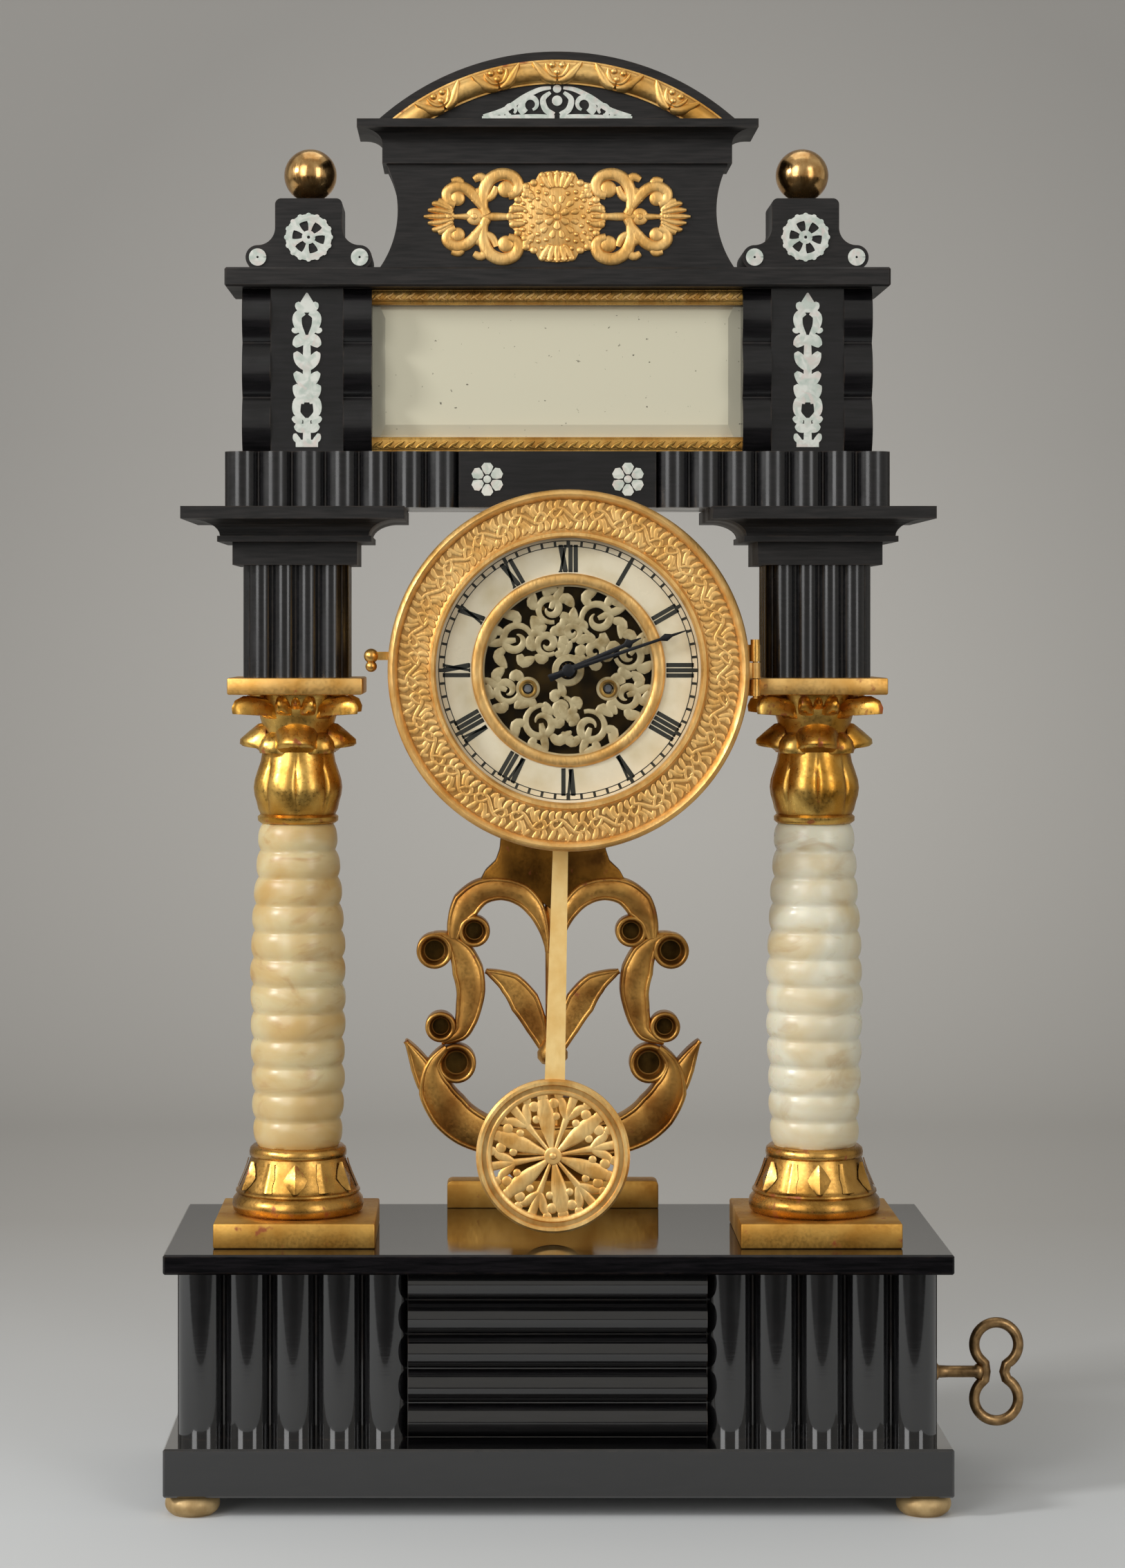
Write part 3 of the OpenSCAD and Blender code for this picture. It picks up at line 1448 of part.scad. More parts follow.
module motion_wheel() {
  color(brass)
    at_arbor(motion_dist * cos(motion_angle), motion_dist * sin(motion_angle), 0)
      difference() {
        union() {
          translate([0, cannon_y, 0])
            rotate([0, -motion_angle - 180, 0]) wheel(motion_teeth, motion_module, 1.2, 0.7, 1.1);
          translate([0, hour_wheel_y, 0])
            rotate([0, -motion_angle - 180 - 180 / motion_pinion, 0])
              wheel(motion_pinion, motion_module, 2.3, 0.7, 0.9);
        }
        rod_y(arbor_r + run_gap, hour_wheel_y - 1, cannon_y + 2);
      }
}

// Flat hand pointing up: waist at the boss, slender blade, small tail
module hand_outline(len, w, tail) {
  circle(r = w * 1.6);
  polygon([[-w / 2, 0], [-w * 0.4, len * 0.62], [-w * 0.85, len * 0.7], [-w * 0.3, len * 0.8], [0, len],
    [w * 0.3, len * 0.8], [w * 0.85, len * 0.7], [w * 0.4, len * 0.62], [w / 2, 0]]);
  polygon([[-w * 0.4, 0], [-w * 0.8, -tail], [w * 0.8, -tail], [w * 0.4, 0]]);
}

module hour_hand() {
  color(blued)
    at_arbor(0, 0, 0)
      difference() {
        union() {
          translate([0, hour_hand_y, 0])
            rotate([0, hour_angle, 0]) upright(0, hand_t) hand_outline(hour_len, 2.2, 8);
          rod_y(pipe_r, hour_hand_y, hour_wheel_y + 0.5);
          rod_y(pipe_r + 1.2, hour_hand_y, hour_hand_y + hand_t);
          translate([0, hour_wheel_y, 0])
            rotate([0, -motion_angle, 0]) wheel(hour_teeth, motion_module, 1.2, 0.7, 1.1);
        }
        rod_y(hub_r + run_gap, hour_hand_y - 1, hour_wheel_y + 2);
      }
}

module minute_hand() {
  color(blued)
    at_arbor(0, 0, minute_hand_y) {
      rotate([0, minute_angle, 0]) upright(0, hand_t) hand_outline(minute_len, 1.8, 12);
      rod_y(2.2, -0.8, eps);
    }
}

// Places a piece in the pendulum's own frame, hung from its pivot and leaning as it stands
module hung() {
  translate([clock_x, pendulum_y, pivot_z]) rotate([0, pendulum_lean, 0]) children();
}

module pendulum_rod() {
  len = pivot_z - bob_z - bob_r + 2;
  color(gilt)
    hung()
      difference() {
        union() {
          rod_y(eye_r, -rod_t / 2, rod_t / 2);
          upright(-rod_t / 2, rod_t / 2)
            polygon([[-rod_top_w / 2, 0], [rod_top_w / 2, 0], [rod_w / 2, -len], [-rod_w / 2, -len]]);
        }
        rod_y(stud_r + run_gap, -2, 2);
      }
}

// Openwork bob: double rim, pierced leaf rosette and boss
module pendulum_bob() {
  drop = pivot_z - bob_z;
  rim = bob_r * 0.17;
  petal_count = 8;
  color(gilt)
    hung()
      translate([0, 0, -drop])
        difference() {
          union() {
            rotate([90, 0, 0])
              rotate_extrude() {
                translate([bob_r - rim, -bob_t / 2]) square([rim, bob_t * 0.86]);
                translate([bob_r - rim / 4, bob_t * 0.3]) circle(r = bob_t * 0.2);
                translate([bob_r - rim * 0.75, bob_t * 0.3]) circle(r = bob_t * 0.2);
              }
            upright(-0.6, 0.6) {
              for (i = [0:petal_count - 1])
                rotate(i * 360 / petal_count) {
                  translate([bob_r * 0.24, -1.8]) square([bob_r * 0.62, 3.6]);
                  translate([bob_r * 0.66, 0]) circle(r = bob_r * 0.17);
                }
              flat_ring(bob_r * 0.43, 2.4);
              circle(r = bob_r * 0.3);
            }
            rod_y(bob_r * 0.09, -1.6, 0);
          }
          box(rod_w + 0.1, -rod_t / 2 - 0.05, rod_t / 2 + 0.05, bob_r - 2.1, bob_r + 2);
        }
}

module gong() {
  color(steel) {
    translate([clock_x, gong_y, dial_z])
      rotate([90, 0, 0])
        rotate([0, 0, 120]) rotate_extrude(angle = 300) translate([gong_r, 0]) circle(r = gong_wire);
    rod_y(3, gong_y - 2, drum_back, clock_x + gong_r * cos(120), dial_z + gong_r * sin(120));
  }
}

// Hammer on its stud behind the back plate, reaching back to the gong
module strike_hammer() {
  y = plate_b_back + 1.2;
  color(steel)
    translate([clock_x + hammer_x, 0, dial_z])
      difference() {
        union() {
          rod_y(3, y, y + 2.4);
          box(3, y, y + 2.4, -hammer_drop, 0);
          rod_y(1.2, y, gong_y + 2, 0, -hammer_drop);
          rod_y(hammer_r, gong_y - 4, gong_y + 2, 0, -hammer_drop);
        }
        rod_y(stud_r + run_gap, y - 1, y + 3);
      }
}

// The origin is under the middle of the whole box, which takes in the key
translate([-frame_x, 0, 0]) {
  feet();
  base_plinth();
  base_carcase();
  base_reeding();
  base_top();
  music_bedplate();
  music_arbor();
  music_barrel();
  music_cylinder();
  music_comb();
  music_fly();
  winding_key();
  column_plinths();
  column_feet();
  column_shafts();
  capitals();
  abaci();
  reeded_blocks();
  imposts();
  tie_rods();
  frieze();
  attic_piers();
  mirror_board();
  mirror_glass();
  mirror_mouldings();
  attic_cornice();
  ball_pedestals();
  gilt_balls();
  crest_panel();
  crest_cornice();
  pediment_board();
  pediment_moulding();
  crest_mount();
  pearl_inlays();
  lyre_stand();
  drum();
  drum_cover();
  bezel();
  bezel_glass();
  bezel_hinge();
  bezel_catch();
  dial_ring();
  dial_rim();
  skeleton_plate();
  movement_frame();
  going_barrel();
  going_arbor();
  strike_barrel();
  strike_arbor();
  centre_wheel();
  third_wheel();
  escape_wheel();
  anchor();
  motion_wheel();
  hour_hand();
  minute_hand();
  pendulum_rod();
  pendulum_bob();
  strike_hammer();
  gong();
}
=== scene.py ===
"""Looks of the portico clock: carving, gilding, dial and inlays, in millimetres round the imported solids."""
import logging
import math
from collections.abc import Callable, Sequence
from dataclasses import dataclass
from enum import Enum

import bmesh
import bpy
from mathutils import Matrix, Vector


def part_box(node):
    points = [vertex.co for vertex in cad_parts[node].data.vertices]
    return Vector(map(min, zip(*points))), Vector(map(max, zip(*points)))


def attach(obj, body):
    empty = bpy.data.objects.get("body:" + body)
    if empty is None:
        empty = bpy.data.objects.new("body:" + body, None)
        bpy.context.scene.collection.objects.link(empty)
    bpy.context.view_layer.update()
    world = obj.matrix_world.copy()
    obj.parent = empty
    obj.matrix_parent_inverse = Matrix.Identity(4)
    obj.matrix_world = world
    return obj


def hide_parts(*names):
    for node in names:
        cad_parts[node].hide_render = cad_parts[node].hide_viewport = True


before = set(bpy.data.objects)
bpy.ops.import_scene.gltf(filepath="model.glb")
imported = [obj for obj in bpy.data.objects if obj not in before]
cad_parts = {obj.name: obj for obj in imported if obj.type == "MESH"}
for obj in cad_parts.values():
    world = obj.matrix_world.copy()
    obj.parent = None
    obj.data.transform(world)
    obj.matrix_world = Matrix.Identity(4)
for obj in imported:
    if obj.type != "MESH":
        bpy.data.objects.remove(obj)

Tree = bpy.types.NodeTree
Socket = bpy.types.NodeSocket
Point2 = tuple[float, float]
Triple = tuple[float, float, float]
Path = Sequence[Point2]
Stroke = tuple[list[Point2], float, float]

LOG = logging.getLogger("portico_clock")
MM = 0.001
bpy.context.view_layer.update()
CASE = "case"
SIDES = (-1, 1)

# Edges sharper than this many degrees stay sharp, unless a piece says otherwise.
SMOOTH = 40.0

# The pieces are drawn about the base's own middle, which lies to the left of the frame's origin.
MIDDLE_X = sum(corner.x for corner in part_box("base_plinth")) / 2

# Place of the camera from the base's middle, in metres.
EYE = (-0.0293, -1.393, 0.3362)

# Ranges that a noise is stretched from, and the sockets of a colour mix.
MID, WIDE = (0.35, 0.65), (0.3, 0.7)
MIX_FACTOR, MIX_A, MIX_B, MIX_RESULT = 0, 6, 7, 2


def linear(hex_colour: str) -> tuple[float, float, float, float]:
    """Turn an sRGB hex colour into linear light.

    Args:
        hex_colour: Six hex digits after a hash sign.

    Returns:
        Red, green, blue and an alpha of one.
    """
    parts = [int(hex_colour[i:i + 2], 16) / 255 for i in (1, 3, 5)]
    light = [c / 12.92 if c <= 0.04045 else ((c + 0.055) / 1.055) ** 2.4 for c in parts]
    return (light[0], light[1], light[2], 1.0)


def feed(tree: Tree, node: bpy.types.Node, inputs: dict) -> None:
    """Set a value or link a socket for each of these inputs of a node."""
    for key, value in inputs.items():
        if isinstance(value, Socket):
            tree.links.new(value, node.inputs[key])
        else:
            node.inputs[key].default_value = value


def add(tree: Tree, kind: str, inputs: dict | None = None, **settings: object) -> bpy.types.Node:
    """Add one node with its settings, values and links.

    Args:
        tree: The node tree that gets the node.
        kind: Blender's name for the kind of node.
        inputs: Value or output socket for each input, by name or number.
        settings: Attributes of the node.

    Returns:
        The new node.
    """
    made = tree.nodes.new(kind)
    for name, value in settings.items():
        setattr(made, name, value)
    feed(tree, made, inputs or {})
    return made


def reckon(tree: Tree, operation: str, *values: object) -> Socket:
    """Do one sum with values and sockets."""
    return add(tree, "ShaderNodeMath", dict(enumerate(values)), operation=operation).outputs["Value"]


def per_mm(size: float) -> float:
    """Texture scale that gives features of this size in millimetres."""
    return 1.0 / (size * MM)


def spot(tree: Tree) -> Socket:
    """Place on the object, in metres."""
    return add(tree, "ShaderNodeTexCoord").outputs["Object"]


def depth_of(tree: Tree, place: Socket) -> Socket:
    """How far back a place lies."""
    return add(tree, "ShaderNodeSeparateXYZ", {"Vector": place}).outputs["Y"]


def bulge(tree: Tree) -> Socket:
    """How the surface bends, from hollow to ridge."""
    return add(tree, "ShaderNodeNewGeometry").outputs["Pointiness"]


def cloud(tree: Tree, size: float, detail: float = 3.0, stretch: Triple = (1.0, 1.0, 1.0),
          twist: float = 0.0) -> Socket:
    """Add a noise of this feature size.

    Args:
        tree: The material's tree.
        size: Feature size in millimetres.
        detail: Octaves of the noise.
        stretch: Scale of the coordinates along each axis.
        twist: Distortion of the noise.

    Returns:
        The noise's value.
    """
    place = add(tree, "ShaderNodeMapping", {"Vector": spot(tree), "Scale": stretch}).outputs["Vector"]
    return add(tree, "ShaderNodeTexNoise", {
        "Vector": place, "Scale": per_mm(size), "Detail": detail, "Distortion": twist}).outputs["Fac"]


def span(tree: Tree, value: Socket, source: Point2, target: Point2 = (0.0, 1.0)) -> Socket:
    """Map a value from one range to another, clamped."""
    return add(tree, "ShaderNodeMapRange", {
        "Value": value, "From Min": source[0], "From Max": source[1], "To Min": target[0],
        "To Max": target[1]}).outputs["Result"]


def blend(tree: Tree, factor: Socket, first: str | Socket, second: str | Socket) -> Socket:
    """Mix two colours, each a hex text or a socket."""
    ends = [linear(c) if isinstance(c, str) else c for c in (first, second)]
    return add(tree, "ShaderNodeMix", {MIX_FACTOR: factor, MIX_A: ends[0], MIX_B: ends[1]},
               data_type="RGBA").outputs[MIX_RESULT]


def relief(tree: Tree, height: Socket, depth: float, strength: float) -> Socket:
    """Normal of a bump of this depth in millimetres."""
    return add(tree, "ShaderNodeBump", {
        "Height": height, "Distance": depth * MM, "Strength": strength}).outputs["Normal"]


def edges(tree: Tree, radius: float) -> Socket:
    """Mask of the edges within this radius in millimetres."""
    soft = add(tree, "ShaderNodeBevel", {"Radius": radius * MM}, samples=4).outputs["Normal"]
    true = add(tree, "ShaderNodeNewGeometry").outputs["Normal"]
    same = add(tree, "ShaderNodeVectorMath", {0: soft, 1: true}, operation="DOT_PRODUCT")
    return span(tree, same.outputs["Value"], (0.99, 0.86))


@dataclass(frozen=True)
class Finish:
    """One finish, made as a procedural material the first time it is asked for."""

    name: str

    def material(self) -> bpy.types.Material:
        """Return the material, painting it if it is new."""
        made = bpy.data.materials.get(self.name)
        if made is None:
            made = bpy.data.materials.new(self.name)
            made.use_nodes = True
            tree = made.node_tree
            feed(tree, tree.nodes["Principled BSDF"], self.inputs(tree))
        return made

    def inputs(self, tree: Tree) -> dict[str, object]:
        """Return a value or a socket for each input that the shader gets."""
        raise NotImplementedError


@dataclass(frozen=True)
class EbonisedWood(Finish):
    """Beech or pear stained black and french polished: deep gloss, faint grain, brown on rubbed edges."""

    dark: str = "#070708"
    light: str = "#151315"
    rubbed: str = "#3a2f27"
    grain: float = 1.1
    gloss: Point2 = (0.2, 0.34)
    lacquer: float = 0.25
    shine: float = 0.42
    cup: float = 0.0
    flat_y: float = 50.0
    span_y: float = 110.0

    def inputs(self, tree: Tree) -> dict[str, object]:
        """Streaks of grain, cloudy polish and rubbed edges."""
        streak = cloud(tree, self.grain, 4.0, (0.08, 1.0, 1.0))
        patchy = span(tree, cloud(tree, 5.0, 5.0), (0.4, 0.62), (0.0, 0.75))
        rub = reckon(tree, "MULTIPLY", edges(tree, 0.8), patchy)
        wood = blend(tree, span(tree, streak, (0.35, 0.7)), self.dark, self.light)
        coat = {"Base Color": blend(tree, rub, wood, self.rubbed),
                "Roughness": span(tree, cloud(tree, 24.0, 4.0), MID, self.gloss), "IOR": 1.5,
                "Coat Weight": self.lacquer, "Coat Roughness": self.gloss[0] * 0.5,
                "Specular IOR Level": self.shine}
        if not self.cup:
            return {**coat, "Normal": relief(tree, streak, 0.12, 0.12)}
        tilt = relief(tree, self.hollow(tree), self.cup, 1.0)
        return {**coat, "Normal": tilt, "Coat Normal": tilt}

    def hollow(self, tree: Tree) -> Socket:
        """Height of a board that has cupped with age: level at its back, rising to one at its front edge."""
        run = (self.flat_y * MM, (self.flat_y - self.span_y) * MM)
        return reckon(tree, "POWER", span(tree, depth_of(tree, spot(tree)), run), 2.0)


@dataclass(frozen=True)
class LeafGilding(Finish):
    """Gold leaf laid on red bole over wood: uneven gold, soft gloss, red where it is rubbed."""

    gold: str = "#d8a743"
    deep: str = "#a36f22"
    bole: str = "#8c3d1b"
    # Colour of the painted shade in the hollows.
    shade: str = "#5d3a12"
    rub: float = 0.6
    wear: float = 0.85
    rough: Point2 = (0.24, 0.42)

    def inputs(self, tree: Tree) -> dict[str, object]:
        """Laps of leaf, painted shade in the hollows, worn patches of bole and a burnished sheen."""
        patch, bent = cloud(tree, 5.0, 6.0), bulge(tree)
        reach = reckon(tree, "ADD", patch, span(tree, bent, (0.52, 0.6), (0.0, 0.16)))
        worn = span(tree, reach, (self.rub, self.rub + 0.09), (0.0, self.wear))
        leaf = blend(tree, span(tree, cloud(tree, 16.0), MID), self.deep, self.gold)
        # Painted shade: where the surface bends inwards (low pointiness) the leaf is darkened towards the
        # shade colour.
        shaded = blend(tree, span(tree, bent, (0.49, 0.42), (0.0, 0.8)), leaf, self.shade)
        return {"Base Color": blend(tree, worn, shaded, self.bole),
                "Metallic": span(tree, worn, (0.0, self.wear), (0.96, 0.35)),
                "Roughness": span(tree, cloud(tree, 1.2), WIDE, self.rough),
                "Normal": relief(tree, patch, 0.35, 0.18)}


@dataclass(frozen=True)
class WornMetal(Finish):
    """Stamped, turned or drawn metal with a patina: bright on the ridges, stained in the hollows."""

    bright: str = "#dcae58"
    deep: str = "#b98437"
    stain: str = "#5a3b16"
    rough: Point2 = (0.25, 0.4)
    patina: float = 9.0
    metallic: float = 1.0
    matted: float = 0.05

    def inputs(self, tree: Tree) -> dict[str, object]:
        """Patina clouds, stained hollows and fine scratches."""
        scratch = cloud(tree, 0.8, 2.0, (1.0, 1.0, 0.2))
        hollow = span(tree, bulge(tree), (0.495, 0.43), (0.0, 0.85))
        metal = blend(tree, span(tree, cloud(tree, self.patina, 4.0), MID), self.deep, self.bright)
        return {"Base Color": blend(tree, hollow, metal, self.stain),
                "Roughness": span(tree, scratch, WIDE, self.rough), "Metallic": self.metallic,
                "Normal": relief(tree, scratch, self.matted, 0.1 + self.matted)}


@dataclass(frozen=True)
class Alabaster(Finish):
    """Turned alabaster: cream, lit from within, with amber clouds and veins under a wax polish."""

    cream: str = "#e6d6b0"
    honey: str = "#d8b476"
    amber: str = "#b87a38"

    def inputs(self, tree: Tree) -> dict[str, object]:
        """Clouds of honey, thin amber veins and a soft depth."""
        clouds = cloud(tree, 34.0, 4.0, (1.0, 1.0, 1.6), 0.6)
        veins = span(tree, cloud(tree, 26.0, 6.0, (1.0, 1.0, 2.2), 1.8), (0.56, 0.76), (0.0, 0.5))
        body = blend(tree, span(tree, clouds, (0.4, 0.68)), self.cream, self.honey)
        return {"Base Color": blend(tree, veins, body, self.amber),
                "Roughness": span(tree, clouds, WIDE, (0.26, 0.4)), "Subsurface Weight": 0.4,
                "Subsurface Radius": (1.0, 0.65, 0.35), "Subsurface Scale": 5.0 * MM, "IOR": 1.52,
                "Normal": relief(tree, cloud(tree, 7.0), 0.5, 0.15)}


@dataclass(frozen=True)
class MotherOfPearl(Finish):
    """Cut and polished shell: pale, with green and pink lights that drift over a few millimetres."""

    pale: str = "#d2d4cc"
    green: str = "#b0bab0"
    pink: str = "#cebfb8"

    def inputs(self, tree: Tree) -> dict[str, object]:
        """Drifting tints under a thin gloss."""
        drift = cloud(tree, 4.0, 2.0, twist=1.0)
        blush = span(tree, cloud(tree, 7.0, 2.0, twist=1.5), (0.52, 0.68), (0.0, 0.7))
        tint = blend(tree, span(tree, drift, (0.4, 0.65)), self.pale, self.green)
        return {"Base Color": blend(tree, blush, tint, self.pink),
                "Roughness": span(tree, drift, WIDE, (0.16, 0.32)), "Coat Weight": 0.4, "Coat Roughness": 0.1}


@dataclass(frozen=True)
class OldMirror(Finish):
    """Silvered glass with age: a clear reflection, a warm cast and a few dark specks; most of its pale colour
    is diffuse, a painted reflection of what lies in front.
    """

    silver_and_painted_reflection: str = "#ddd8c0"
    speck: str = "#6a665a"

    def inputs(self, tree: Tree) -> dict[str, object]:
        """Warm silver with specks where the backing has gone; the silver is mostly diffuse, a painted
        reflection.
        """
        spots = span(tree, cloud(tree, 2.2, 5.0), (0.7, 0.74))
        # Painted reflection: metallic is only 0.3, so the pale silver shows mostly as diffuse colour that
        # stands in for reflected light.
        return {"Base Color": blend(tree, spots, self.silver_and_painted_reflection, self.speck),
                "Roughness": span(tree, cloud(tree, 30.0), MID, (0.04, 0.1)), "Metallic": 0.3}


@dataclass(frozen=True)
class WindowGlass(Finish):
    """Flat clear glass: nearly unseen, with a faint gloss."""

    tint: str = "#1c2224"
    cover: float = 0.05

    def inputs(self, tree: Tree) -> dict[str, object]:
        """A thin clear sheet with a little dust."""
        dust = span(tree, cloud(tree, 6.0, 5.0), (0.55, 0.75), (0.02, 0.12))
        return {"Roughness": dust, "Base Color": linear(self.tint), "Alpha": self.cover, "IOR": 1.5}


@dataclass(frozen=True)
class FiredPaint(Finish):
    """Enamel, ink or paint: one colour that clouds a little, with a soft gloss."""

    main: str = "#ece2c6"
    shade: str = "#d8c9a2"
    patch: float = 14.0
    rough: Point2 = (0.25, 0.38)
    metallic: float = 0.0

    def inputs(self, tree: Tree) -> dict[str, object]:
        """Clouds between two close tones."""
        clouds = cloud(tree, self.patch, 5.0)
        return {"Base Color": blend(tree, span(tree, clouds, (0.45, 0.75)), self.main, self.shade),
                "Roughness": span(tree, clouds, WIDE, self.rough), "Metallic": self.metallic,
                "Normal": relief(tree, cloud(tree, 1.0, 2.0), 0.03, 0.08)}


@dataclass(frozen=True)
class StudioPaper(Finish):
    """Matt paper sweep with painted light: pale under the lamps, greyer as it runs back, clear when seen from
    behind.
    """

    floor: str = "#c3c5c6"
    wall: str = "#bebcb8"
    dim: str = "#a2a09d"
    run: Point2 = (-0.06, 0.62)
    glow: Point2 = (0.1, 0.3)
    spread: Point2 = (0.12, 0.62)

    def inputs(self, tree: Tree) -> dict[str, object]:
        """Painted light: fade from floor to wall as the paper runs back, and from a painted glow on the wall
        to its corners.
        """
        place = spot(tree)
        # Painted light: the paper is one sheet; the floor is painted paler than the wall, and the wall
        # lightest round glow.
        fade = span(tree, depth_of(tree, place), self.run)
        level = add(tree, "ShaderNodeMapping", {
            "Vector": place, "Location": (-self.glow[0], 0.0, -self.glow[1]), "Scale": (1.0, 0.0, 1.0)})
        away = add(tree, "ShaderNodeVectorMath", {0: level.outputs["Vector"]}, operation="LENGTH")
        wall = blend(tree, span(tree, away.outputs["Value"], self.spread), self.wall, self.dim)
        unseen = reckon(tree, "SUBTRACT", 1.0, add(tree, "ShaderNodeLightPath").outputs["Is Camera Ray"])
        inner_side = add(tree, "ShaderNodeNewGeometry").outputs["Backfacing"]
        return {"Base Color": blend(tree, fade, self.floor, wall),
                "Alpha": reckon(tree, "MAXIMUM", unseen, inner_side), "Roughness": 0.9,
                "Specular IOR Level": 0.1}


class Look(Enum):
    """Finishes of this clock."""

    EBONY = EbonisedWood("ebonised_pearwood")
    MATT = EbonisedWood("dull_ebonised_wood", dark="#100f0e", light="#242120", gloss=(0.44, 0.6), lacquer=0.0,
                        shine=0.3)
    REEDS = EbonisedWood("polished_ebonised_reeds", light="#100f10", gloss=(0.08, 0.16), lacquer=1.0,
                         shine=0.6)
    SLAB = EbonisedWood("polished_ebonised_slab", gloss=(0.03, 0.09), lacquer=0.0, shine=0.2, cup=1.9)
    GILT_WOOD = LeafGilding("gold_leaf_on_bole", "#e8bf68", "#b9822f", rub=0.66)
    GILT_FLAT = LeafGilding("gold_leaf_on_flats", "#d4a656", "#b58238", rub=0.76, rough=(0.42, 0.58))
    GILT_FOOT = LeafGilding("burnished_gold_leaf", "#cf9f54", "#986e30", rub=0.66, rough=(0.22, 0.38))
    GILT_PALE = LeafGilding("matt_water_gilding", "#ecc27a", "#cc9648", rub=0.72, rough=(0.36, 0.52))
    GILT_OLD = LeafGilding("old_matt_gilding", "#dba85a", "#9d6c32", rub=0.68, rough=(0.3, 0.48))
    GILT_DARK = LeafGilding("shaded_gold_leaf", "#8a5e22", "#4a2e0e", rub=0.7, rough=(0.36, 0.56))
    STAMPED = WornMetal("stamped_gilt_brass", "#f0c47c", "#daa65a", "#a4763c", (0.36, 0.54), metallic=0.78,
                        matted=0.3)
    GILT_BRASS = WornMetal("gilt_turned_brass", "#e6b968", "#c48d42", rough=(0.24, 0.4), metallic=0.88)
    BOB = WornMetal("gilt_bob_brass", "#ffd68c", "#e4aa58", "#6a4416", (0.34, 0.5), metallic=0.7, matted=0.2)
    ROD = WornMetal("burnished_rod_brass", "#ffdc94", "#f2c678", rough=(0.3, 0.42), metallic=0.3)
    BALL = WornMetal("polished_brass_ball", "#e6bd80", "#b88a52", rough=(0.14, 0.28), patina=5.0)
    OLD_BRASS = WornMetal("lacquered_brass", "#c39b52", "#94713a", rough=(0.3, 0.45))
    # Painted shade: a darkened copy of brass for parts that sit in shade, the lyre's volute eyes and the
    # clock's movement.
    SHADED_BRASS = WornMetal("shade_darkened_brass", "#54401e", "#2a1f0e", rough=(0.5, 0.66))
    KEY_BRONZE = WornMetal("handled_bronze", "#b08e62", "#7a6040", rough=(0.3, 0.46), patina=4.0)
    FOOT_BRASS = WornMetal("dull_foot_brass", "#c2a676", "#9c8054", rough=(0.45, 0.6), metallic=0.5)
    STEEL = WornMetal("drawn_steel", "#a7a8aa", "#75777b", "#3a3a3c", (0.28, 0.4))
    BLUED = WornMetal("fire_blued_steel", "#17181d", "#0c0c10", "#060608", (0.34, 0.48), metallic=0.35)
    STONE_LEFT = Alabaster("honey_alabaster", "#cdbc90", "#c09e61", "#a2682c")
    STONE_RIGHT = Alabaster("pale_alabaster", "#dad5bf", "#cbb88e", "#b08c58")
    PEARL = MotherOfPearl("sawn_mother_of_pearl")
    MIRROR = OldMirror("old_silvered_mirror")
    GLASS = WindowGlass("clear_window_glass")
    ENAMEL = FiredPaint("cream_enamel")
    INK = FiredPaint("black_dial_ink", "#25261f", "#35352c", rough=(0.4, 0.55))
    SCROLL = FiredPaint("champagne_plate", "#c4b48a", "#927c4c", 5.0, (0.32, 0.48), 0.2)
    PAPER = StudioPaper("studio_paper")
    FLOOR = FiredPaint("dark_studio_floor", "#1a1918", "#232120", 300.0, (0.7, 0.9))

    def material(self) -> bpy.types.Material:
        """Return this finish's material."""
        return self.value.material()


class Axis(Enum):
    """Which way a turned piece's axis runs."""

    UPRIGHT = "upright"
    FACING = "facing"


